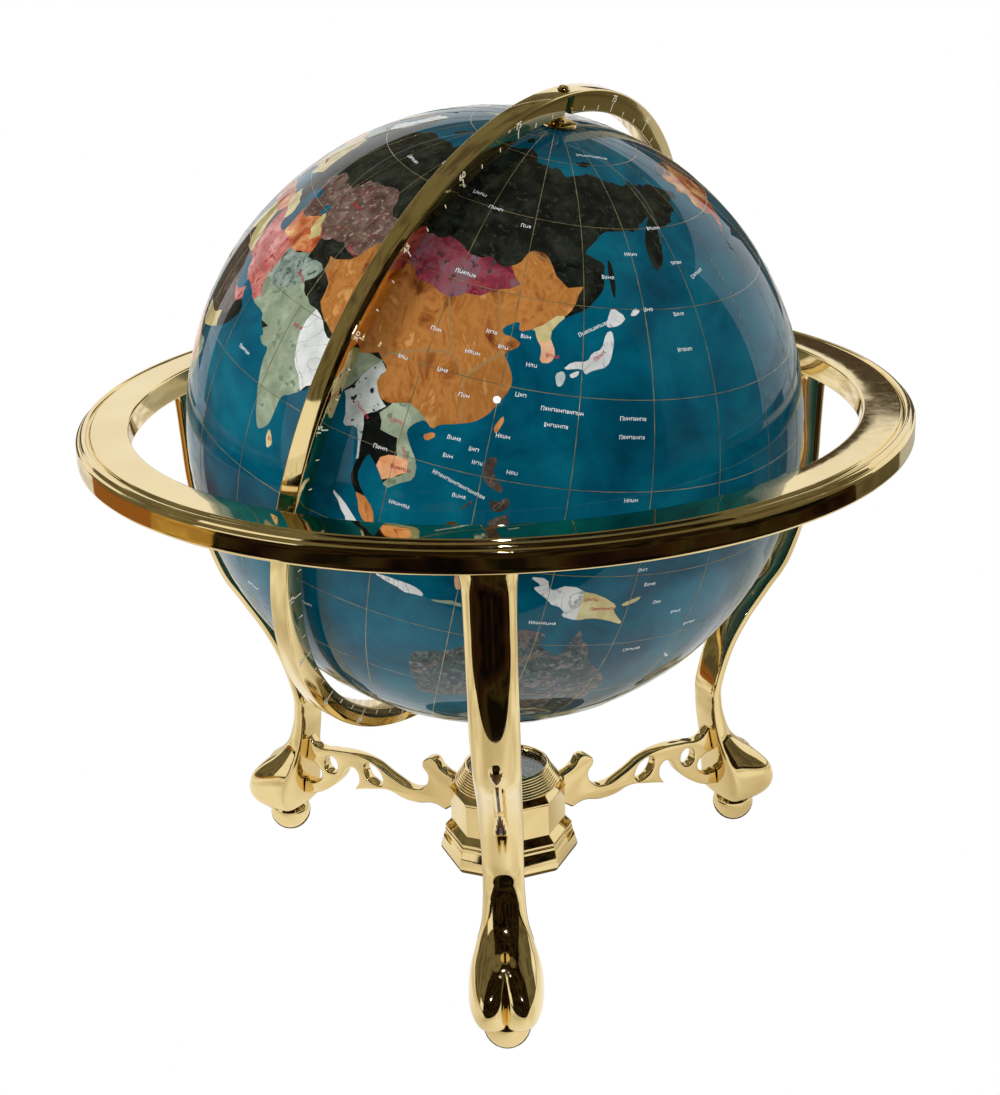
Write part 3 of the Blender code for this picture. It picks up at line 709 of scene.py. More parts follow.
ARM_OUTLINE = [
    (seat(45.4), 45.4, "corner"), (88.4, 41.7, ""), (80.5, 42.0, ""), (70.0, 42.6, ""),
    (61.0, 40.9, ""), (51.5, 36.2, ""), (43.3, 33.6, ""), (37.8, 35.4, ""), (35.2, 40.6, ""),
    (37.8, 45.4, ""), (35.8, 48.4, ""), (32.0, 49.2, ""), (28.8, 45.6, ""),
    (ARM_END, 43.2, "corner"), (ARM_END, 31.0, "corner"), (27.6, 28.0, "corner"),
    (33.0, 29.4, ""), (41.0, 27.9, ""), (47.2, 28.1, ""), (54.6, 30.0, ""), (62.5, 28.7, ""),
    (71.0, 26.6, "corner"), (68.8, 31.0, ""), (70.8, 36.0, ""), (73.6, 35.6, ""),
    (77.6, 29.8, ""), (83.4, 24.4, ""), (90.0, 20.6, ""), (seat(19.0), 19.0, "corner"),
    (seat(25.2), 25.2, "corner"), (90.6, 25.4, ""), (87.2, 29.8, ""), (90.2, 33.8, ""),
    (seat(34.8), 34.8, "corner"),
]
ARM_THICKNESS, ARM_EDGE = 4.8, 0.7


def add_edge(curve, points):
    """Adds a closed outline to a flat curve, with sharp knots at its corners."""
    spline = curve.splines.new("BEZIER")
    spline.bezier_points.add(len(points) - 1)
    spline.use_cyclic_u = True
    spline.resolution_u = 8
    for knot, (x, y, kind) in zip(spline.bezier_points, points):
        knot.co = (x * MM, y * MM, 0.0)
        handle = "VECTOR" if kind else "AUTO"
        knot.handle_left_type = handle
        knot.handle_right_type = handle


def ellipse(x, y, half_long, half_short, tilt):
    """Knots of a hole's outline, its long side tilted by degrees."""
    slope = math.radians(tilt)
    points = []
    for i in range(6):
        along = half_long * math.cos(math.pi * i / 3.0)
        across = half_short * math.sin(math.pi * i / 3.0)
        points.append((x + along * math.cos(slope) - across * math.sin(slope),
                       y + along * math.sin(slope) + across * math.cos(slope), ""))
    return points


curve = bpy.data.curves.new("arm_outline", "CURVE")
curve.dimensions = "2D"
curve.fill_mode = "BOTH"
curve.extrude = (0.5 * ARM_THICKNESS - ARM_EDGE) * MM
curve.bevel_depth = ARM_EDGE * MM
curve.bevel_resolution = 3
curve.offset = -ARM_EDGE * MM
add_edge(curve, ARM_OUTLINE)
add_edge(curve, ellipse(82.3, 35.1, 3.3, 3.9, 0.0))
add_edge(curve, ellipse(61.6, 35.5, 5.5, 3.4, 45.0))
arm = linked("scroll_arm_cast", curve)
pick(arm)
bpy.ops.object.convert(target="MESH")
arm = bpy.context.object
tidy(arm)
smooth(arm, 40.0)
arm.data.transform(turn_x(90.0))

for label, azimuth in LEG_AZIMUTHS.items():
    place = turn_z(azimuth - 90.0)
    for pattern, name, node in ((leg, "leg_cast_", "leg_"),
                                (ball, "ball_foot_turned_", "ball_foot_"),
                                (arm, "scroll_arm_cast_", "scroll_arm_")):
        # legs carry the painted dark reflection on their ornament as the second material
        fit(copy_of(pattern, name + label), "stand", gold, place, [node + label],
            painted_reflection_gold if pattern is leg else None)
for pattern in (leg, ball, arm):
    bpy.data.objects.remove(pattern, do_unlink=True)

# Hub and base: octagons with their mouldings

hub = turned("hub_body_cast",
             [(16.0, 47.1), (20.5, 47.1), (20.8, 46.7), (22.5, 44.6), (22.5, 44.0),
              (22.1, 43.5), (22.1, 31.0), (22.5, 30.4), (24.3, 28.6), (24.6, 28.1),
              (24.6, 27.2), (16.5, 27.2), (16.5, 41.0), (15.9, 41.0), (15.9, 43.9)],
             8, closed=True)
for azimuth in LEG_AZIMUTHS.values():
    pad = box("arm_seat", (4.2, ARM_THICKNESS, 11.4), (21.1, 0.0, 37.0))
    pad.data.transform(turn_z(azimuth - 90.0))
    apply_step(hub, "BOOLEAN", operation="UNION", solver="EXACT", object=pad)
    bpy.data.objects.remove(pad, do_unlink=True)
soften(hub, 0.22)
fit(hub, "stand", gold, replaces=["hub_body"])

base = turned("hub_base_cast",
              [(19.0, 26.9), (24.5, 26.9), (24.8, 26.4), (24.8, 25.4), (25.1, 24.9),
               (26.6, 19.4), (26.6, 18.6), (26.1, 17.6), (25.2, 16.6), (3.0, 16.6),
               (3.0, 20.4), (19.0, 20.4)], 8, closed=True)
soften(base, 0.22)
fit(base, "stand", gold, replaces=["hub_base"])
bolt = turned("hub_bolt_headed",
              [(2.4, 43.0), (2.4, 16.3), (4.6, 16.3), (4.6, 14.8), (4.2, 14.1), (3.4, 13.8)],
              48)
soften(bolt, 0.1)
fit(bolt, "stand", steel, replaces=["hub_bolt"])

# Compass: beehive cap of fine steps, glass, bowl, card and needle

cap_profile = [(15.2, 54.0), (15.5, 54.4), (16.0, 54.4)]
CAP_STEPS, STEP_POINTS = 8, 5
for i in range(CAP_STEPS * STEP_POINTS + 1):
    t = i / (CAP_STEPS * STEP_POINTS)
    bulge = 0.24 * abs(math.sin(math.pi * CAP_STEPS * t))
    cap_profile.append((16.2 + 4.1 * t ** 1.2 + 0.8 * bulge, 54.2 - 6.7 * t + 0.6 * bulge))
cap_profile += [(20.2, 47.4), (15.9, 47.4), (15.9, 52.3), (15.2, 52.3)]
cap = turned("compass_cap_beehive", cap_profile, 128, closed=True)
smooth(cap, 50.0)
fit(cap, "stand", gold, replaces=["compass_cap"])

disc = turned("compass_glass_disc", [(15.3, 52.0), (15.6, 51.7), (15.6, 51.1), (15.3, 50.8)], 96)
smooth(disc)
fit(disc, "stand", glass, replaces=["compass_glass"])
bowl = turned("compass_bowl_moulded",
              [(14.7, 50.4), (15.5, 50.5), (15.6, 50.3), (15.6, 44.2), (15.4, 44.0),
               (1.3, 44.0), (1.3, 44.8), (14.5, 44.8), (14.7, 45.0)], 96, closed=True)
smooth(bowl)
fit(bowl, "stand", black, replaces=["compass_bowl"])
card = turned("compass_card_printed",
              [(14.2, 45.7), (14.4, 45.6), (14.4, 45.1), (1.3, 45.1), (1.3, 45.7)], 96,
              closed=True)
smooth(card)
fit(card, "stand", card_ink, replaces=["compass_card"])
points = []
TICK_RIM, TICK_LEVEL = 13.2, 45.72
for step in range(0, 360, 15):
    width, length = (0.28, 1.4) if step % 45 else (0.5, 3.2)
    tick = box("compass_point", (width, length, 0.16),
               (0.0, TICK_RIM - 0.5 * length, TICK_LEVEL))
    tick.data.transform(turn_z(step))
    points.append(tick)
rose = joined(points, "compass_card_points")
fit(rose, "stand", INKS["white_label_paint"])

needle = begin("compass_needle_blued", "circle", vertices=4, radius=1.0, fill_type="NGON")
bpy.ops.object.mode_set(mode="EDIT")
bpy.ops.transform.resize(value=(1.9 * MM, 11.5 * MM, 1.0))
bpy.ops.mesh.extrude_region_move(TRANSFORM_OT_translate={"value": (0.0, 0.0, 0.5 * MM)})
bpy.ops.transform.resize(value=(0.4, 0.9, 1.0))
bpy.ops.object.mode_set(mode="OBJECT")
tidy(needle)
needle.data.transform(Matrix.Translation((0.0, 0.0, 47.9 * MM)))
bore = begin("needle_bore", "cylinder", vertices=24, radius=0.7 * MM, depth=3.0 * MM,
             location=(0.0, 0.0, 48.2 * MM))
carve(needle, bore)
fit(needle, "needle", needle_paint, replaces=["compass_needle"])

for name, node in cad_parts.items():
    hidden_steel = name.startswith(("leg_stud", "arm_stud", "arm_screw", "hub_nut",
                                    "compass_pivot"))
    if hidden_steel or name == "globe_axle_tube":
        node.data.materials.clear()
        node.data.materials.append(steel if hidden_steel else aluminium)

# The map: shores as (longitude, latitude), then the inlaid regions laid over the land

SHORES = [
    # Eurasia
    ("serpentine", [
        (-9, 43), (-9.4, 38.7), (-8.5, 37), (-6, 36.3), (-2, 36.8), (0, 39), (3.1, 42), (6, 43),
        (9, 44.3), (12.3, 41.7), (16, 38.1), (17.8, 40.2), (13.5, 43.6), (12.5, 45.5),
        (14, 45), (19.2, 42), (21, 37.2), (23.3, 37.6), (24, 40.5), (28.5, 41.2), (28, 43.5),
        (30.5, 46.2), (33, 46), (34, 44.5), (38.5, 47), (39, 44.5), (41.5, 42.5),
        (41.3, 41.3), (36, 41.5), (31, 41.2), (27, 40), (27.5, 37), (31, 36.5), (36, 36.5),
        (34.5, 31.5), (34.9, 29.2), (37, 25), (39, 21.5), (42.5, 16.5), (43.5, 12.8),
        (48, 14), (52.2, 15.8), (55.5, 17.6), (57.8, 19.5), (59.8, 22.5), (56.5, 24.6),
        (56.3, 26.2), (54, 24.2), (51.6, 24.4), (51.2, 26), (50, 26.6), (48.4, 29.3),
        (50.5, 29.8), (54, 26.7), (57, 27), (61.5, 25.2), (66.5, 25.2), (67.5, 23.7),
        (70, 22.4), (69.2, 21.6), (71, 20.8), (72.7, 21.2), (72.9, 18.5), (74.2, 14.5),
        (76.2, 10), (77.5, 8.1), (79.2, 9.4), (79.9, 10.6), (80.2, 13.5), (80.4, 15.6),
        (82.5, 16.7), (86.7, 20.3), (87.6, 21.6), (90.5, 22), (91.9, 22.4), (94.2, 18.6),
        (94.4, 16), (97, 17), (98, 14.8), (98.6, 12), (98.3, 8.3), (100.3, 6), (101.4, 2.8),
        (103.6, 1.4), (104.2, 2.7), (103.4, 4.8), (101, 6.9), (99.4, 9.3), (99.9, 12),
        (100.5, 13.5), (101.6, 12.6), (102.9, 11.4), (104.8, 8.7), (106.7, 10.3),
        (109.2, 11.7), (109, 14.5), (107, 17), (105.7, 19), (106.8, 20.6), (108.4, 21.6),
        (110, 20.4), (111, 21.5), (113.6, 22.2), (116.7, 23.2), (118.8, 24.8), (120.2, 27),
        (121.9, 29.6), (121.8, 31.6), (120.4, 33.8), (119.2, 35), (122.5, 36.9), (120.8, 37.9),
        (118.2, 38.1), (118, 39.2), (121.2, 40.9), (121.4, 38.9), (124.5, 40), (125.2, 38.4),
        (126.5, 37), (126.4, 34.6), (128.6, 34.8), (129.5, 36.5), (127.6, 39.5),
        (130, 42.2), (132.3, 43.2), (135.5, 44.4), (138.3, 46.6), (140.3, 48.5), (140.6, 51),
        (141.2, 53), (137.5, 54), (135.5, 54.8), (139, 57), (142.7, 59.3), (148, 59.5),
        (155, 59.2), (160, 61.7), (163.7, 62.5), (160, 60.5), (157, 58), (155.6, 55.3),
        (156.5, 51.4), (159.8, 53), (162, 56), (163.3, 57.8), (164, 59.8), (170.3, 60),
        (175, 62), (179.4, 62.6), (182, 65.2), (187, 64.4), (190.2, 66), (184.5, 67.2),
        (179, 69), (170, 69.9), (160.5, 69.7), (152, 70.9), (146, 72.4), (139, 72),
        (130, 71), (127, 73.4), (119, 73), (113, 73.7), (112.6, 75.6), (106, 77.3),
        (101, 76.6), (95, 76), (86, 74.8), (80.5, 73.3), (79, 72), (74, 72.9), (71, 72.6),
        (68.5, 68.5), (65, 69.4), (60, 69), (54, 68.6), (46, 68), (44, 66.2), (38, 64.2),
        (40.5, 66.3), (35, 69.2), (28, 71), (21, 70), (14, 67), (9.5, 63.7), (5.2, 61),
        (6, 58.2), (10.7, 59.2), (12.5, 56), (16.4, 56.6), (18.7, 60), (17.8, 62.8), (22, 65.6),
        (25, 65), (21.4, 61.5), (23.3, 59.9), (29.8, 60), (24, 59.2), (21.5, 57.5),
        (19.5, 54.6), (14, 54), (11, 54.2), (10.5, 57.5), (8.2, 57), (8.6, 53.8), (4.5, 52),
        (1.7, 50.9), (-1.5, 49.6), (-4.5, 48.4), (-1.2, 46), (-1.8, 43.4)]),
    # Africa and Madagascar
    ("umber", [
        (-6, 35.8), (-2, 35.2), (5, 36.8), (10.5, 37.2), (10.3, 34.4), (15, 32.3), (19.5, 30.5),
        (21, 32.7), (25, 31.7), (32.3, 31.2), (32.6, 29.6), (35.5, 24), (37.3, 21),
        (39.5, 15.5), (43.2, 11.5), (51, 11.8), (48, 4.5), (42, -1.2), (39, -6), (40.5, -10.5),
        (40.3, -15.5), (35, -20), (35.4, -24), (32.8, -26.5), (31, -30), (27.5, -33.3),
        (22, -34.2), (18.3, -34), (17.6, -31), (14.8, -26.5), (12, -17.5), (13.7, -11),
        (12, -5), (9, -0.8), (9.7, 4), (6, 4.3), (2, 6.3), (-4, 5.2), (-7.7, 4.4),
        (-13, 8.3), (-16.8, 13), (-16.8, 20.5), (-14, 26), (-10, 29.5), (-9.5, 32)]),
    ("tiger", [(44, -25), (43.5, -22), (44.4, -16.3), (49.3, -12.1), (50.3, -15.7),
               (47.2, -25)]),
    # The Americas and Greenland
    ("granite", [
        (-168, 65.6), (-162, 66.4), (-166, 68.3), (-156.5, 71.3), (-141, 69.6), (-128, 70.2),
        (-115, 68), (-108, 68), (-96, 68), (-94, 72), (-90, 69), (-85, 69.5), (-82, 67),
        (-87, 64), (-94, 61), (-93, 58.5), (-88, 56.5), (-82.3, 55), (-80.5, 51.5), (-79, 55),
        (-76.5, 58), (-78, 62.4), (-70, 61), (-65, 59), (-61, 56), (-56, 52), (-60, 50.2),
        (-66, 50), (-70, 47), (-65, 48.5), (-64.5, 46), (-61, 45.5), (-66, 43.8), (-67, 44.8),
        (-70.5, 43), (-70, 41.7), (-74, 40.6), (-76, 37), (-75.7, 35.2), (-81, 31.5),
        (-80.2, 27), (-81, 25.2), (-82.8, 28), (-84, 30), (-89, 30.2), (-90, 29), (-94, 29.5),
        (-97.3, 27), (-97.7, 22.5), (-95, 18.6), (-91, 18.6), (-90.3, 21), (-87, 21.5),
        (-88.3, 16), (-83.5, 15), (-83.5, 11), (-80, 9.2), (-77.2, 8.6), (-80, 7.5),
        (-83, 8.4), (-85.7, 10.5), (-87.7, 13), (-94, 16), (-97, 15.8), (-105.5, 20.3),
        (-105.5, 23), (-109.5, 26.7), (-113, 31), (-114.7, 31.7), (-112, 28), (-109.5, 23),
        (-112, 25), (-114.5, 28), (-117, 32.5), (-120.6, 34.6), (-124, 40), (-124.5, 47),
        (-123, 49), (-127.5, 51), (-130.5, 54.5), (-136, 58.5), (-140, 59.8), (-148, 60.5),
        (-152, 59), (-158, 56), (-164.5, 54.6), (-158, 58.3), (-162, 59), (-165.5, 62),
        (-161, 64.3)]),
    ("malachite", [
        (-77.2, 8.4), (-75.5, 10.8), (-72, 12.2), (-71.5, 10.5), (-64, 10.6), (-60.5, 8.5),
        (-52, 5), (-50, 0), (-44, -2.5), (-39, -3), (-35, -5.5), (-35, -9), (-39, -13),
        (-39, -18), (-41, -22), (-46, -24), (-48.6, -28), (-53, -33.5), (-57.5, -34.5),
        (-57, -38), (-62, -39), (-65, -41), (-65.5, -45), (-68, -50), (-69, -52.3),
        (-65.3, -54.8), (-70, -55.3), (-74.5, -51), (-75, -46), (-73, -41.5), (-73.5, -37),
        (-71.5, -31), (-70.3, -18.5), (-76, -14), (-81.2, -6), (-80.5, -2), (-80, 0.8),
        (-77.5, 4), (-77.8, 7.2)]),
    ("howlite", [(-73, 78.2), (-60, 82), (-35, 83.4), (-18, 80), (-20, 75), (-24, 70.5),
                 (-36, 65.8), (-43, 60), (-49, 62), (-53, 67), (-54, 70), (-58, 75.5),
                 (-68, 76)]),
    ("umber", [(-90, 73.5), (-80, 73.7), (-68, 70), (-62, 66.5), (-65, 62.5), (-73, 64.5),
               (-72, 67.5), (-85, 70)]),
    ("jade", [(-117, 70), (-113, 73), (-105, 73), (-102, 69), (-110, 68.7)]),
    ("rose", [(-125, 72), (-121, 74.3), (-117, 73.5), (-122, 71.2)]),
    ("cream", [(-89, 76.5), (-92, 81), (-70, 83), (-65, 81.5), (-78, 76.5)]),
    ("tiger", [(-59, 47.8), (-56, 51.4), (-53, 48.5), (-53.5, 46.8)]),
    ("salmon", [(-84.8, 22), (-80, 23), (-74.3, 20.2), (-77.5, 19.9)]),
    ("jade", [(-74.3, 18.4), (-73, 19.9), (-68.5, 18.7), (-71, 17.9)]),
    # Antarctica
    ("howlite", [
        (-169, -78), (-150, -76.5), (-125, -74), (-100, -73), (-75, -73), (-67, -68),
        (-58, -63.5), (-60, -68), (-62, -75), (-45, -78), (-25, -76), (-10, -71), (20, -70),
        (50, -66.5), (70, -68.5), (90, -66.5), (120, -66.7), (145, -67), (165, -71),
        (168, -77.5), (191, -78), (191, -90), (-169, -90)]),
    # Australia, New Zealand and the islands north of them
    ("abalone", [
        (114, -22), (113.5, -26), (115.7, -31.5), (115, -34.3), (118, -35), (123.5, -33.9),
        (126, -32.3), (131, -31.5), (134, -32.8), (135.8, -34.8), (138, -33), (138.3, -35.5),
        (140.5, -38), (143.5, -38.8), (146.3, -39), (150, -37.5), (151.5, -33), (153.2, -30),
        (153.2, -25.5), (149.5, -22), (146.2, -18.8), (145.3, -15), (143.6, -14),
        (142.5, -10.8), (141.5, -14), (140.8, -17.5), (139, -17.3), (135.6, -15),
        (136.8, -12.2), (132.5, -11.5), (130, -13.5), (128.4, -15), (125.5, -14.2),
        (123.5, -17.2), (121.5, -18.8), (117, -20.8)]),
    ("malachite", [(144.7, -40.8), (148.3, -40.9), (147.8, -43.2), (146, -43.5)]),
    ("cream", [(172.8, -34.5), (176, -37.6), (178.5, -37.8), (176.8, -40), (175, -41.5),
               (173.8, -39.3), (174.8, -37.5)]),
    ("tiger", [(172.7, -40.6), (174.3, -41.7), (171, -44.5), (168.5, -46.6), (166.5, -45.9),
               (170.5, -43)]),
    ("howlite", [(131, -0.8), (134.2, -0.8), (135, -3.3), (138, -1.7), (144.5, -3.9),
                 (147.8, -6), (147.2, -7), (150.5, -10.5), (146.5, -9), (143.5, -8.5),
                 (141, -9.1), (138, -8.2), (138.5, -7), (133.5, -4), (132, -2.8),
                 (133.5, -2.3)]),
    ("amber", [(109, 1.5), (110.5, 1.8), (111.5, 2.6), (113.5, 3.3), (115, 5), (117, 7),
               (119.2, 5.2), (117.8, 3.5), (118.8, 1), (117.5, 0.8), (116.3, -3.8),
               (114.5, -4), (111.7, -3.2), (110, -1.5)]),
    ("howlite", [(95.3, 5.6), (98.2, 4.2), (100.5, 2.2), (103.6, -0.8), (106, -3.2),
                 (105.7, -5.8), (102, -4), (98.7, 1.7)]),
    ("howlite", [(105.3, -6.7), (108.5, -6.6), (112.5, -6.8), (114.5, -7.8), (114.3, -8.7),
                 (108.5, -7.8)]),
    ("peach", [(119.5, -5.5), (120.4, -5.5), (120.5, -2.8), (122.5, -5.3), (123, -4),
               (121.7, -1.9), (123.3, -1), (120.3, -0.9), (120.3, 0.6), (124.5, 0.4),
               (125, 1.6), (120.8, 1.2), (119.7, 0), (118.9, -3)]),
    ("jade", [(123.6, -10.3), (127, -8.4), (126, -9.1), (124.2, -10.2)]),
    ("jade", [(116, -8.5), (122.8, -8.2), (122.5, -8.8), (116, -9)]),
    ("howlite", [(127.5, 1.5), (128.6, 1.3), (128, -0.8)]),
    # The western Pacific islands and Japan
    ("umber", [(120.5, 18.4), (122.2, 18.4), (121.6, 16), (124, 13.6), (123.6, 12.8),
               (120.7, 14), (119.9, 16)]),
    ("umber", [(121.9, 11.8), (123.2, 11.2), (125, 12.5), (125.6, 11), (124, 9.6),
               (122.5, 9.8)]),
    ("umber", [(122.2, 7.6), (123.6, 8.7), (125.3, 9.7), (126.4, 7.5), (125.3, 5.8),
               (124, 6.8)]),
    ("umber", [(117.3, 8.4), (119.4, 11.2), (119.2, 10)]),
    ("dalmatian", [(129.7, 33.2), (131.2, 33.9), (131.9, 33), (131.3, 31.4), (130.3, 31.2)]),
    ("howlite", [(132.4, 33.4), (134.5, 34.3), (134.2, 33.3), (133, 32.8)]),
    ("howlite", [(131, 34), (132.8, 35.5), (136, 35.8), (136.9, 37.3), (139, 38),
                 (140, 40.8), (141.4, 41.3), (141.8, 39.3), (140.8, 36), (139.6, 35),
                 (138.2, 34.7), (136.8, 34.3), (135.7, 33.6), (135, 34.6)]),
    ("howlite", [(140.1, 41.6), (140.5, 43.2), (141.7, 45.3), (145.2, 43.6), (143.2, 42.1)]),
    ("howlite", [(146, 43.9), (147.5, 45.3), (149, 44.8), (147.5, 43.9)]),
    ("onyx", [(142, 54), (143.2, 53), (143.5, 49.5), (142.7, 46.2), (141.9, 49)]),
    ("amber", [(120.2, 23), (121.5, 25.3), (121.9, 24.4), (120.9, 22)]),
    ("amber", [(108.7, 19.2), (110.4, 20.1), (111, 19.5), (109.5, 18.3)]),
    ("cream", [(79.8, 8), (80.2, 9.7), (81.8, 7.5), (80.7, 6)]),
    ("howlite", [(164, -20), (167, -22.2), (166.2, -22.4)]),
    ("cream", [(148.5, -5.6), (152, -4.2), (151.6, -5.3), (149, -6.3)]),
    # Northern Europe and the Arctic islands
    ("salmon", [(-5.5, 50.2), (1, 51), (1.6, 52.8), (-1.5, 55), (-2, 57.6), (-5, 58.6),
                (-6, 56.5), (-4.8, 54.7), (-3, 53.8), (-5, 52)]),
    ("jade", [(-10, 52), (-6.3, 52.3), (-5.7, 54.7), (-8.3, 55.2), (-10, 54)]),
    ("cream", [(-24, 65.5), (-22.5, 64), (-18.5, 63.4), (-13.7, 65), (-16, 66.5),
               (-22, 66.3)]),
    ("serpentine", [(52, 71.5), (56, 74), (68, 76.8), (60, 75), (57.5, 71.2)]),
    ("jade", [(12, 79), (20, 80.3), (26, 79.8), (17, 76.8)]),
    ("onyx", [(95, 79.3), (100, 81), (105, 79)]),
    ("onyx", [(138, 75.8), (145, 76), (150, 75), (142, 74)]),
    ("onyx", [(178.5, 71.2), (181.5, 71.5), (180.5, 70.9)]),
]

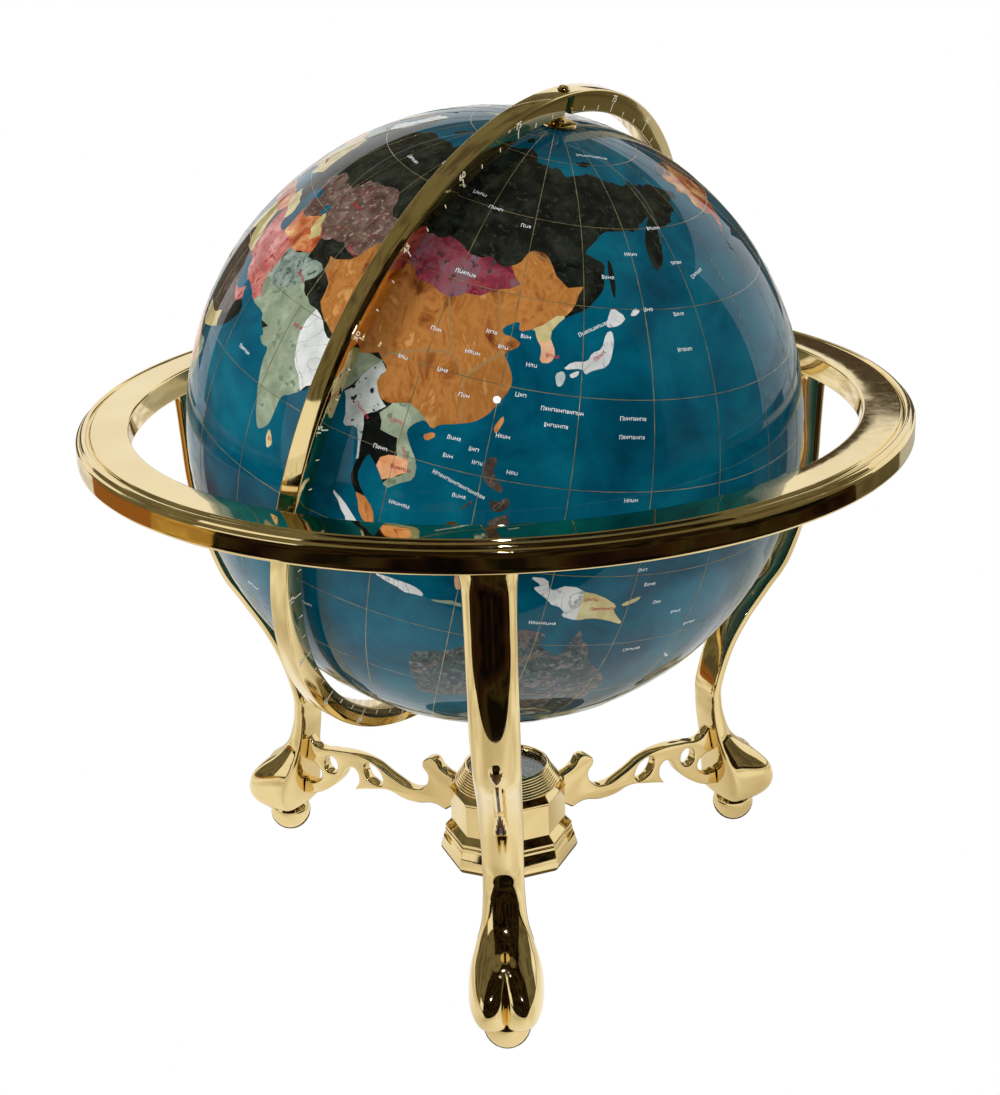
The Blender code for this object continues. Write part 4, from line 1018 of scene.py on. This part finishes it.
REGIONS = [
    # Europe and the Near East
    ("cream", [(3, 57), (12, 60), (14, 66), (30, 71.5), (3, 71.5)]),
    ("umber", [(10.5, 59), (12, 60), (14, 66), (20, 69), (24, 66), (16, 55), (12.2, 55.5)]),
    ("howlite", [(20, 69), (28, 71), (30, 67), (31, 63), (28, 60.3), (19, 59.8), (24, 66)]),
    ("rose", [(-6, 49.5), (2, 51.5), (8, 49), (7, 43), (3, 42.2), (-2, 43.2)]),
    ("sardonyx", [(-11, 44.5), (-1.8, 43.4), (3.5, 42.4), (0, 36), (-11, 36)]),
    ("howlite", [(2, 51.5), (4, 54), (9, 55), (14.5, 54.5), (15, 50), (13, 47.5), (8, 47.5),
                 (8, 49)]),
    ("jade", [(7, 43), (7, 47), (13, 46.8), (14, 43), (19, 40), (16, 36), (8, 40)]),
    ("salmon", [(14.5, 54.5), (24, 55), (24, 50.5), (18, 49), (15, 50)]),
    ("tiger", [(13, 46.8), (15, 50), (18, 49), (24, 48), (28, 45), (28.5, 41), (26, 35),
               (20, 36), (18, 41), (14, 44.5)]),
    ("cream", [(24, 55), (24, 48), (28, 45), (34, 44), (40, 47.5), (36, 52), (31, 56)]),
    ("jade", [(19, 54.8), (21, 59.8), (28, 60), (28, 56), (24, 54.8)]),
    ("sardonyx", [(26, 35), (26, 41.5), (36, 42.5), (41.5, 42), (44.5, 39.5), (42, 37),
                  (36, 36)]),
    ("cream", [(35.5, 37), (42, 37.3), (46, 33), (48.5, 30), (44, 29.5), (39, 32), (35, 29),
               (34, 31)]),
    ("umber", [(34.5, 29), (39, 32), (44, 29.5), (48.5, 29.5), (52, 24), (55.5, 22.5),
               (55, 20), (52, 19), (47, 17), (42, 17), (37, 22)]),
    ("cream", [(42, 17), (47, 17), (52, 19), (53.5, 15), (48, 13), (43, 12)]),
    ("onyx", [(52, 19), (55, 20), (55.5, 22.5), (60.5, 23.5), (60, 20), (56, 16), (53.3, 15.5)]),
    ("rose", [(52, 24), (55.5, 22.5), (57.5, 24), (57, 27), (51, 25)]),
    ("cream", [(41.5, 43.2), (48, 42), (50.5, 40), (49, 38), (45, 38.6), (41.5, 41)]),
    # Central Asia
    ("granite", [(46.5, 48.5), (50, 51.6), (55, 50.8), (60, 50.7), (61.5, 54), (65, 54.6),
                 (70, 55.3), (76.5, 54.2), (80, 51), (83.5, 51), (87.3, 49.2), (85.5, 47.2),
                 (82.5, 45.5), (80.2, 42.2), (74, 42.8), (67, 41), (60.5, 43.5), (56, 41.3),
                 (52, 42), (50, 45)]),
    ("sardonyx", [(52, 42), (56, 41.3), (60.5, 43.6), (67, 41), (71, 40.2), (68, 37.2),
                  (61, 35.4), (54, 37.3), (52, 40)]),
    ("cream", [(60.5, 45), (63.5, 42.5), (66, 41.2), (64, 39.4), (61.4, 41)]),
    ("rose", [(44.5, 39.6), (48.5, 38.3), (54, 37.3), (60.8, 36.4), (60.8, 31), (63, 27),
              (61.5, 25), (56, 25.5), (48, 30), (45.5, 34)]),
    ("moss", [(60.8, 36.4), (66, 37.4), (71, 38.2), (75, 36.8), (72, 33.5), (69, 31),
              (66, 29.5), (60.8, 30)]),
    ("jade", [(60.8, 30), (66, 29.5), (69, 31), (72, 33.5), (75, 32), (71, 27), (70, 24),
              (66, 24), (61.5, 25), (63, 27)]),
    ("serpentine", [(67, 41), (71, 40.2), (74, 42.8), (80.2, 42.2), (76, 40), (74, 38),
                    (68, 37.2)]),
    ("serpentine", [(72, 33.8), (74.5, 37), (79, 35.4), (79, 31), (75.5, 31.5)]),
    # South and East Asia
    ("jade", [(70, 24), (71, 27), (75, 32), (79, 31), (81, 30), (80, 22), (84, 18), (81, 13),
              (79.5, 8.5), (77, 7), (74, 10), (71, 19), (68, 22)]),
    ("howlite", [(79, 31), (82, 29.8), (88, 27.6), (88.5, 21), (84, 18), (80, 22)]),
    ("jade", [(88, 27.6), (92, 28), (97.3, 28.3), (94.5, 24.5), (92.3, 21.5), (88, 20.5)]),
    ("rhodonite", [(87.8, 49.2), (92, 50.8), (98.3, 52), (102.2, 51.3), (107, 50),
                   (113, 49.7), (116.5, 49.9), (119.7, 47), (115.5, 45.4), (111.5, 43.4),
                   (105, 41.7), (97, 42.7), (91, 45.1), (90.8, 47)]),
    ("jasper", [(73.5, 39.6), (80.2, 42.2), (82.5, 45.5), (85.5, 47.2), (87.8, 49.2),
                (90.8, 47), (91, 45.1), (97, 42.7), (105, 41.7), (111.5, 43.4),
                (115.5, 45.4), (119.7, 47), (116.5, 49.9), (120, 53), (125.5, 52.8),
                (128, 49.6), (131, 47.8), (135, 48.4), (133, 45.2), (131, 43), (127.5, 41.6),
                (124.3, 39.9), (124, 36.5), (125, 30), (121, 23), (113, 20), (108.2, 20.6),
                (108, 21.6), (105, 23.2), (102, 22.4), (99.4, 22.6), (97.7, 25), (98.6, 27.6),
                (96, 29.3), (92, 27.9), (88, 27.8), (82, 30.2), (78.8, 32.4), (78, 35.6),
                (74.5, 37.2)]),
    ("dalmatian", [(92.2, 21), (94.6, 24.6), (97.3, 28.3), (98.8, 27), (97.8, 24.8),
                   (99.4, 22.6), (101, 21.6), (97.6, 19), (98.4, 16), (99, 12), (96, 11),
                   (92, 16)]),
    ("onyx", [(97.6, 19), (100.2, 20.3), (101.3, 17.8), (104.6, 17.4), (105.4, 14.6),
              (102.6, 13.5), (102.6, 11.5), (101.6, 8), (102, 6.2), (100, 6.4), (97, 7.5),
              (98.8, 11), (98.4, 16)]),
    ("amber", [(100, 6.5), (102, 6.3), (105, 4), (105, 0.5), (99, 3)]),
    ("jade", [(100.2, 20.3), (102, 22.5), (105, 23.4), (108.6, 21.7), (111, 12), (108, 8),
              (104, 8), (105, 10.8), (107.6, 12.4), (107.5, 14.5), (105.4, 14.6),
              (104.6, 17.4), (101.3, 17.8)]),
    ("salmon", [(102.6, 13.5), (105.4, 14.6), (107.5, 14.5), (107.6, 12.4), (105.6, 11),
                (103.5, 9.9), (102.2, 11.5)]),
    ("cream", [(124.3, 40), (127.5, 41.8), (130.6, 42.9), (131.5, 40), (129, 38.2),
               (124, 37.6)]),
    ("peach", [(124, 37.6), (129, 38.2), (131, 37), (129.5, 33.5), (125, 33.5)]),
    ("cream", [(141, -1), (141, -10), (152, -12), (152, -3)]),
    ("tiger", [(114.5, 5.5), (116.5, 3.5), (116, 0), (119.5, 0.5), (120, 6), (117, 8)]),
    # Africa
    ("cream", [(-9, 36), (-2, 36), (3, 33), (-6, 28), (-14, 26)]),
    ("amber", [(-6, 28), (3, 33), (-2, 36), (9, 38), (9, 30), (12, 23.5), (4, 19), (-5, 25)]),
    ("rose", [(9, 38), (12, 34), (25, 33), (25, 20), (15, 23), (12, 23.5), (9, 30)]),
    ("howlite", [(25, 33), (34, 32), (37, 22), (25, 22)]),
    ("tiger", [(25, 22), (37, 22), (38.5, 17), (34, 8), (24, 9), (22, 15), (25, 20)]),
    ("jade", [(-18, 22), (-5, 25), (4, 19), (0, 14), (-12, 14), (-18, 16)]),
    ("serpentine", [(4, 19), (12, 23.5), (15, 23), (16, 14), (4, 12), (0, 14)]),
    ("sardonyx", [(-18, 16), (-12, 14), (0, 14), (3, 4), (-18, 4)]),
    ("rhodonite", [(3, 4), (4, 12), (14, 13), (9, 3)]),
    ("salmon", [(38.5, 17), (44, 11), (48, 8), (42, 4), (34, 4), (34, 8)]),
    ("jade", [(48, 8), (44, 11), (52, 13), (50, 2), (41, -3), (42, 4)]),
    ("granite", [(34, 4), (42, 4), (42, -5), (34, -1)]),
    ("malachite", [(12, 5), (28, 5), (31, -4), (28, -13), (21, -11), (12, -6)]),
    ("cream", [(34, -1), (42, -5), (41, -11), (34, -11), (30, -8), (31, -2)]),
    ("tiger", [(10, -6), (21, -11), (24, -17), (10, -18)]),
    ("jasper", [(34, -11), (42, -10), (42, -18), (32, -27), (32, -17)]),
    ("peach", [(10, -18), (21, -18), (20, -28), (14, -30)]),
    ("onyx", [(14, -29), (20, -28), (27, -24), (33, -23), (34, -36), (14, -36)]),
    # North and South America
    ("sardonyx", [(-169, 72), (-141, 71), (-141, 60), (-130, 55), (-140, 52), (-169, 52)]),
    ("abalone", [(-126, 49), (-95, 49), (-83, 45), (-82, 42), (-75, 45), (-70, 47),
                 (-66, 44.5), (-72, 38), (-78, 24), (-85, 28), (-97, 25.8), (-106, 31.5),
                 (-117, 32.4), (-124, 34)]),
    ("jade", [(-118, 33), (-106, 31.5), (-97, 25.8), (-94, 20), (-86, 22), (-88, 17),
              (-92, 14), (-106, 17), (-116, 26)]),
    ("salmon", [(-88, 17), (-82, 16), (-77, 8), (-84, 6), (-93, 13)]),
    ("howlite", [(-80, 62), (-63, 62), (-54, 51), (-66, 47), (-79, 47), (-79, 52)]),
    ("tiger", [(-102, 60), (-102, 49), (-89, 48), (-80, 51), (-88, 57), (-94, 60)]),
    ("cream", [(-79, 13), (-67, 12), (-68, 2), (-80, 1)]),
    ("rose", [(-67, 12), (-58, 9), (-60, 4), (-67, 1), (-68, 2)]),
    ("amber", [(-58, 9), (-50, 5), (-56, 2), (-60, 4)]),
    ("sardonyx", [(-82, 0), (-75, 0), (-70, -5), (-69, -18), (-74, -17), (-83, -5)]),
    ("howlite", [(-69, -10), (-60, -14), (-58, -20), (-63, -22), (-68, -22)]),
    ("granite", [(-68, -22), (-63, -22), (-54, -27), (-58, -34), (-55, -40), (-64, -56),
                 (-69, -52), (-72, -45), (-70, -30)]),
    ("cream", [(-71, -17), (-68, -22), (-70, -30), (-72, -45), (-69, -56), (-78, -52),
               (-76, -40), (-73, -28)]),
    ("tiger", [(-58.5, -30), (-53, -31), (-52, -35), (-58.5, -35)]),
]

WATERS = [
    [(47.5, 45), (49.5, 46.5), (52.5, 46.6), (53, 45), (51, 44.3), (52.5, 41.7), (53.6, 39),
     (53.8, 37), (51, 36.8), (49.2, 37.8), (50, 40.3), (48, 42.6)],
    [(58.4, 45.6), (60.5, 46.5), (61.4, 44.4), (59.2, 43.7)],
    [(-87.5, 42), (-88, 47), (-84.5, 46.5), (-80, 45.5), (-83, 43), (-79, 43.4), (-83, 41.7)],
]


def anticlockwise(points):
    area = sum(x0 * y1 - x1 * y0 for (x0, y0), (x1, y1) in zip(points, points[1:] + points[:1]))
    return points if area > 0.0 else points[::-1]


CORNER_STAYS, CORNER_GOES = 0.78, 0.22   # shares of a side
CUT_LENGTH, CUT_SWING = 2.4, 0.14        # degrees, and a share of the cut's length


def rounded(points):
    """Cuts off every corner of an outline, as a stone's edge is ground round."""
    cut = []
    for (x0, y0), (x1, y1) in zip(points, points[1:] + points[:1]):
        cut += [(CORNER_STAYS * x0 + CORNER_GOES * x1, CORNER_STAYS * y0 + CORNER_GOES * y1),
                (CORNER_GOES * x0 + CORNER_STAYS * x1, CORNER_GOES * y0 + CORNER_STAYS * y1)]
    return cut


def ragged(points):
    """Breaks the slanting sides of an outline into short uneven cuts, alike on both stones."""
    result = []
    for start, end in zip(points, points[1:] + points[:1]):
        run = sorted((start, end))
        chance = random.Random(str(run))
        while (math.dist(run[0], run[1]) > CUT_LENGTH and start[0] != end[0]
               and start[1] != end[1]):
            cut = []
            for (x0, y0), (x1, y1) in zip(run, run[1:]):
                swing = chance.uniform(-CUT_SWING, CUT_SWING)
                cut += [(x0, y0), (0.5 * (x0 + x1) + swing * (y1 - y0),
                                   0.5 * (y0 + y1) - swing * (x1 - x0))]
            run = cut + [run[-1]]
        if run[0] != start:
            run.reverse()
        result += run[:-1]
    return result


# The ice of Antarctica runs along the edge of the flat map, so its outline stays straight.
outlines = ([ragged(rounded(points)) if points[-1] != (-169, -90) else points
             for _, points in SHORES]
            + [ragged(points) for _, points in REGIONS]
            + [rounded(points) for points in WATERS])
map_points, map_faces = [], []
for points in map(anticlockwise, outlines):
    map_faces.append(list(range(len(map_points), len(map_points) + len(points))))
    map_points += [Vector(point) for point in points]
GRID = 3                                 # degrees between the ball's own vertices
for lon in range(-169, 192, GRID):
    for lat in range(-90, 91, GRID):
        map_points.append(Vector((lon, lat)))
flat_points, _, triangles, _, _, sources = delaunay_2d_cdt(
    map_points, [], map_faces, 0, 0.02, True)
shore_count, region_count = len(SHORES), len(REGIONS)
slots = list(STONES)

# The shores whose land is parted into regions: the first eleven, New Guinea and Borneo
PARTED = {i for i, (_, points) in enumerate(SHORES)
          if i < 11 or points[0] in ((131, -0.8), (109, 1.5))}


def stone_of(inside):
    """The stone of a triangle that lies inside these outlines, the last laid on top."""
    shores = [i for i in inside if i < shore_count]
    if not shores or any(i >= shore_count + region_count for i in inside):
        return slots.index("ocean")
    regions = [i - shore_count for i in inside if i >= shore_count]
    if regions and max(shores) in PARTED:
        return slots.index(REGIONS[max(regions)][0])
    return slots.index(SHORES[max(shores)][0])


def on_globe(lon, lat, radius=GLOBE_RADIUS):
    """The point at a longitude and latitude, about the pole axis, in metres."""
    angle, rise = math.radians(lon + MAP_TURN), math.radians(lat)
    return Vector((math.cos(rise) * math.cos(angle), math.cos(rise) * math.sin(angle),
                   math.sin(rise))) * radius * MM


mesh = bpy.data.meshes.new("globe_ball")
mesh.from_pydata([on_globe(x, y) for x, y in flat_points], [], triangles)
for face, inside in zip(mesh.polygons, sources):
    face.material_index = stone_of(inside)
for kind in slots:
    mesh.materials.append(STONES[kind])
globe = linked("globe_ball", mesh)
pick(globe)
bpy.ops.object.mode_set(mode="EDIT")
bpy.ops.mesh.select_all(action="SELECT")
bpy.ops.mesh.remove_doubles(threshold=0.00002)
bpy.ops.mesh.normals_make_consistent(inside=False)
bpy.ops.object.mode_set(mode="OBJECT")
bpy.ops.object.shade_smooth()
mesh.transform(SWING)
centre = SWING.translation
mesh.normals_split_custom_set_from_vertices([(v.co - centre).normalized()
                                             for v in mesh.vertices])
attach(globe, "globe")
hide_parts("globe_shell_north", "globe_shell_south")

# Graticule: a brass wire every fifteen degrees, standing just proud of the stone
WIRE, WIRE_LINE = 0.16, GLOBE_RADIUS - 0.09
wires = []
for lat in range(-75, 76, 15):
    rise = math.radians(lat)
    wires.append((WIRE_LINE * math.cos(rise), WIRE_LINE * math.sin(rise), Matrix.Identity(4)))
for lon in range(0, 180, 15):
    wires.append((WIRE_LINE, 0.0, turn_z(lon + MAP_TURN) @ turn_x(90.0)))
made = []
for radius, height, place in wires:
    wire = begin("graticule_wire", "torus", major_radius=radius * MM, minor_radius=WIRE * MM,
                 major_segments=144, minor_segments=6)
    wire.data.transform(place @ Matrix.Translation((0.0, 0.0, height * MM)))
    made.append(wire)
graticule = joined(made, "globe_graticule")
bpy.ops.object.shade_smooth()
fit(graticule, "globe", brass, SWING)

# Label marks: rows of small strokes where the names stand, with no lettering
LABELS = {
    "white_label_paint": [
        (104, 60, 4, 0), (116, 58, 3, 0), (96, 62, 4, 0), (140, 50.5, 4, 0), (148, 55, 4, 0),
        (104, 46.5, 6, 0), (115, 38, 3, 0), (112, 34, 4, 0), (122, 38.4, 3, 0),
        (104, 36, 3, 0), (118, 36, 3, 0), (108, 30, 3, 0), (100, 30, 3, 0), (113, 27, 3, 0),
        (124, 34, 3, 0), (123, 29, 3, 0), (134, 40, 10, 30), (128, 27.5, 12, 0),
        (129, 25, 7, 0), (143, 27, 8, 0), (143, 24, 8, 0), (112, 14, 16, -14),
        (113, 20, 4, 0), (117, 19, 3, 0), (113, 17, 3, 0), (118, 17, 3, 0), (121, 22, 4, 0),
        (116, 11, 4, 0), (106, 7, 6, 0), (124, 16.5, 3, 0), (145, 13.6, 4, 0),
        (137, 7, 3, 0), (101, 15, 4, 0), (88, 15, 6, 0), (65, 18, 6, 0), (142, 78, 10, 0),
        (160, 60, 5, 0), (163, 53, 4, 0), (168, 50, 6, 20), (158, 44, 4, 0), (150, 45, 3, 0),
        (157, 38, 5, 0), (122, -12, 8, 0), (133, -10, 8, 0), (155, -6, 3, 0),
        (152, -2, 4, 0), (160, -9, 4, 0), (165, -13, 5, 0), (153, -17, 6, 0),
        (150, 1, 3, 0), (98, -8, 5, 0), (90, -20, 6, 0), (75, -25, 6, 0), (-30, 30, 8, 0),
        (-40, 10, 8, 0), (-20, -20, 8, 0), (-120, 20, 8, 0), (-140, 40, 8, 0),
        (-110, -30, 8, 0), (-95, 40, 8, 0), (-100, 58, 6, 0), (-55, -10, 6, 0),
        (-65, -35, 6, 0), (15, 10, 5, 0), (22, -4, 5, 0), (60, 62, 6, 0), (75, 65, 6, 0)],
    "red_label_paint": [
        (95.5, 20.5, 6, -30), (102.5, 20, 4, 0), (104.8, 12.8, 6, 0), (137.5, 36.2, 4, 40),
        (143, -6.6, 8, 0), (141.5, -4.6, 4, 0), (127.6, 36, 4, 0), (66, 49, 5, 0),
        (76, 42.6, 5, -20), (57, 33, 4, 0), (69, 34.4, 5, -20), (76, 27, 4, 0),
        (108, 45.5, 6, 0), (106, 16.2, 3, -60), (80.5, 8, 2, 0), (2, 47, 4, 0),
        (30, 48, 4, 0), (18, 28, 4, 0), (28, 26, 3, 0), (-62, 3, 3, 0)],
}
GLYPH_HEIGHT, STROKE, GLYPH_GAP = 1.4, 0.17, 0.5
PAINT, PAINT_LEVEL = 0.08, 0.02          # thickness of a mark and height of its middle
GLYPH_WIDTHS = (0.75, 0.5, 0.9, 0.6, 0.35, 0.8)
for ink, rows in LABELS.items():
    mesh = bpy.data.meshes.new(ink + "_marks")
    work = bmesh.new()
    for lon, lat, count, slope in rows:
        spot = on_globe(lon, lat, 1.0) / MM
        turn, tilt = math.radians(lon + MAP_TURN), math.radians(slope)
        east = Vector((-math.sin(turn), math.cos(turn), 0.0))
        along = east * math.cos(tilt) + spot.cross(east) * math.sin(tilt)
        up = spot.cross(along)
        reach = 0.0
        for i in range(count):
            width = GLYPH_WIDTHS[(i * 5 + int(abs(lon) + abs(lat))) % len(GLYPH_WIDTHS)]
            tall = GLYPH_HEIGHT * (0.7 if i else 1.0)
            bar = ((i + int(abs(lon))) % 3 - 1) * 0.5 * (tall - STROKE)
            for x, y, wide, high in ((0.0, 0.0, STROKE, tall), (width, 0.0, STROKE, tall),
                                     (0.5 * width, bar, width, STROKE)):
                middle = spot * GLOBE_RADIUS + along * (reach + x) + up * y
                middle = middle.normalized() * (GLOBE_RADIUS + PAINT_LEVEL)
                face = Matrix((along, up, middle.normalized())).transposed().to_4x4()
                size = Matrix.Diagonal((wide * MM, high * MM, PAINT * MM, 1.0))
                bmesh.ops.create_cube(work, size=1.0,
                                      matrix=Matrix.Translation(middle * MM) @ face @ size)
            reach += width + GLYPH_GAP
    work.to_mesh(mesh)
    work.free()
    fit(linked(ink + "_marks", mesh), "globe", INKS[ink], SWING)

# Floor, studio and lights


def direct_rays(tree):
    """The camera-ray socket, and one that is 1 for camera, mirror and glass rays."""
    paths = add(tree, "LightPath")
    seen = add(tree, "Math", operation="MAXIMUM", links={0: paths.outputs["Is Camera Ray"],
                                                         1: paths.outputs["Is Glossy Ray"]})
    seen = add(tree, "Math", operation="MAXIMUM", links={
        0: seen.outputs["Value"], 1: paths.outputs["Is Transmission Ray"]})
    return paths.outputs["Is Camera Ray"], seen.outputs["Value"]


# Paper sweep: pure white to the camera, and white with soft warm shadows in the mirror surfaces
paper, tree, shader = new_material("white_paper_sweep")
set_inputs(shader, Base_Color=linear("f4f4f4"), Roughness=0.9)
camera_ray, direct = direct_rays(tree)
place = add(tree, "TexCoord").outputs["Object"]
shade = add(tree, "TexNoise", links={"Vector": place}, values={"Scale": 7.0, "Detail": 2.0})
tones = add(tree, "ValToRGB", links={"Fac": shade.outputs["Fac"]},
            stops=[(0.36, "cfc8b8"), (0.52, "f0ece4"), (0.6, "ffffff")])
tones = add(tree, "Mix", data_type="RGBA", values={7: (1.0, 1.0, 1.0, 1.0)},
            links={0: camera_ray, 6: tones.outputs["Color"]})
white = add(tree, "Emission", values={"Strength": 1.0}, links={"Color": tones.outputs[2]})
mix = add(tree, "MixShader", links={0: direct, 1: shader.outputs["BSDF"],
                                    2: white.outputs["Emission"]})
tree.links.new(mix.outputs["Shader"], tree.nodes["Material Output"].inputs["Surface"])

FLOOR = 0.0005                           # metres; the paper lies this far below the feet
floor = begin("floor", "plane", size=12.0)
floor.location.z = -FLOOR
floor.data.materials.append(paper)

world = bpy.data.worlds.new("studio")
bpy.context.scene.world = world
world.use_nodes = True
tree = world.node_tree
back = tree.nodes["Background"]
back.inputs["Color"].default_value = (1.0, 1.0, 1.0, 1.0)
_, direct = direct_rays(tree)
level = add(tree, "MapRange", links={"Value": direct}, values={"To Min": 0.55, "To Max": 1.0})
tree.links.new(level.outputs["Result"], back.inputs["Strength"])


def cloth(name, tones):
    """Card that glows evenly in soft folds of its tones: backdrop cloth, or painted shade on the
    floor.
    """
    made, tree, shader = new_material(name)
    place = add(tree, "TexCoord").outputs["Object"]
    folds = add(tree, "TexNoise", links={"Vector": place},
                values={"Scale": 3.5, "Detail": 3.0, "Distortion": 0.6})
    step = 0.24 / len(tones)
    glow = add(tree, "ValToRGB", links={"Fac": folds.outputs["Fac"]},
               stops=[(0.38 + step * i, tone) for i, tone in enumerate(tones)])
    tree.links.new(glow.outputs["Color"], shader.inputs["Emission Color"])
    set_inputs(shader, Base_Color=(0.0, 0.0, 0.0, 1.0), Roughness=1.0,
               Specular_IOR_Level=0.0, Emission_Strength=1.0)
    return made


def reflector(name, near, far, low, high, start, end, tones, dip=0.0, middle=(0.0, 0.0)):
    """A card round the object that shows only in its mirror surfaces.

    It runs between two radii and two heights in metres, and between two bearings in degrees
    from the front; dip moves the ends of its near edge outwards."""
    mesh = bpy.data.meshes.new(name)
    steps = max(2, int(abs(end - start) / 5))
    points, faces = [], []
    for i in range(steps + 1):
        angle = math.radians(start + (end - start) * i / steps)
        edge = near + dip * (2.0 * i / steps - 1.0) ** 2
        for radius, height in ((edge, low), (far, high)):
            points.append((middle[0] + radius * math.sin(angle),
                           middle[1] - radius * math.cos(angle), height))
        if i:
            faces.append((2 * i - 2, 2 * i - 1, 2 * i + 1, 2 * i))
    mesh.from_pydata(points, [], faces)
    card = linked(name, mesh)
    mesh.materials.append(cloth(name + "_cloth", tones))
    for kind in ("camera", "diffuse", "shadow", "transmission"):
        setattr(card, "visible_" + kind, False)


# Dark room on the viewing side, olive walls and ceiling, and strips of floor between them
ROOM = ("0a0808", "1c1210", "2c1c12", "342e1a", "120e0c")
OLIVE = ("565040", "6a6450", "747058")
DRAB = ("4a4032", "5a503e")
FLOOR_CARDS = [
    ("dark_floor", 0.2, 1.6, -50, 50, ROOM, 0.2),
    ("dark_floor_left", 0.5, 1.6, -70, -50, ROOM, 0.0),
    ("gold_floor_left", 0.5, 1.6, -92, -70, ("8e6c38", "c8a85c", "a88444"), 0.0),
    ("brown_floor_left", 0.5, 1.6, -125, -92, ("7a4a24", "94602e"), 0.0),
    ("dark_floor_right", 0.42, 1.6, 50, 100, ROOM, 0.0),
    ("olive_floor_right", 0.42, 1.6, 100, 112, OLIVE, 0.0),
    ("olive_floor_behind", 0.52, 1.6, 112, 127, ("4e4c38", "625c44"), 0.0),
    # painted shadow of the globe on the floor behind, seen only in reflections
    ("painted_shadow_floor_behind", 0.30, 1.2, 127, 165, ("a8a698", "bcbab0"), 0.0),
]
for name, near, far, start, end, tones, dip in FLOOR_CARDS:
    reflector(name, near, far, FLOOR, FLOOR, start, end, tones, dip)
reflector("dark_room", 1.6, 1.6, 0.0, 1.6, -48, 62, ROOM)
reflector("dark_ceiling", 1.6, 0.7, 1.6, 1.7, -48, 62, ROOM)
reflector("olive_wall_left", 1.62, 1.62, 0.62, 1.62, -128, -48, OLIVE)
reflector("side_wall_left", 1.62, 1.62, 0.0, 0.62, -128, -78, OLIVE)
reflector("olive_wall_right", 1.62, 1.62, 0.0, 1.62, 62, 110, OLIVE)
reflector("high_wall_behind", 1.66, 1.66, 1.15, 1.62, 110, 232, OLIVE)
reflector("ceiling", 1.63, 0.0, 1.62, 1.8, 0, 360, OLIVE)
reflector("back_strip_left", 1.7, 1.7, 0.02, 0.72, 150, 172, DRAB)
reflector("back_strip_right", 1.7, 1.7, 0.02, 0.55, 205, 222, DRAB)

# The shade under each foot and under the hub
for label, azimuth in LEG_AZIMUTHS.items():
    spot = (FOOT_REACH * MM * math.sin(math.radians(azimuth)),
            -FOOT_REACH * MM * math.cos(math.radians(azimuth)) + 0.009)
    reflector("foot_shade_" + label, 0.0, 0.014, 0.0, 0.0, 0, 360, ("3a2c1a", "5c4a30"),
              middle=spot)
reflector("hub_shade", 0.0, 0.05, 0.0, 0.0, 0, 360, ("4c3e28", "6c5c40"),
          middle=(0.0, 0.012))


def lamp(name, place, size, power):
    """A soft lamp aimed at the globe; only a small one shows as a highlight."""
    data = bpy.data.lights.new(name, "AREA")
    data.shape = "ELLIPSE"
    data.size, data.size_y = size
    data.energy = power
    item = linked(name, data)
    item.location = place
    item.rotation_euler = (Vector((0.0, 0.0, 0.16)) - Vector(place)).to_track_quat(
        "-Z", "Y").to_euler()
    item.visible_glossy = size[0] < 0.2


lamp("key_window", (-1.15, -0.75, 0.75), (0.5, 0.7), 11.0)
lamp("fill_window", (1.2, -0.5, 0.9), (0.5, 0.8), 3.0)
lamp("flash", (0.03, -0.74, 0.50), (0.026, 0.026), 0.5)

# Camera, in metres and degrees: turned, lowered and rolled a little
camera = linked("camera", bpy.data.cameras.new("camera"))
camera.matrix_world = (Matrix.Translation((0.01767, -0.69620, 0.40546)) @ turn_z(1.437)
                       @ turn_x(90.0 - 20.685) @ turn_z(-1.902))
camera.data.lens = 66.37
camera.data.sensor_width = 36.0
camera.data.clip_start = 0.01
bpy.context.scene.camera = camera
bpy.context.scene.view_settings.view_transform = "Standard"
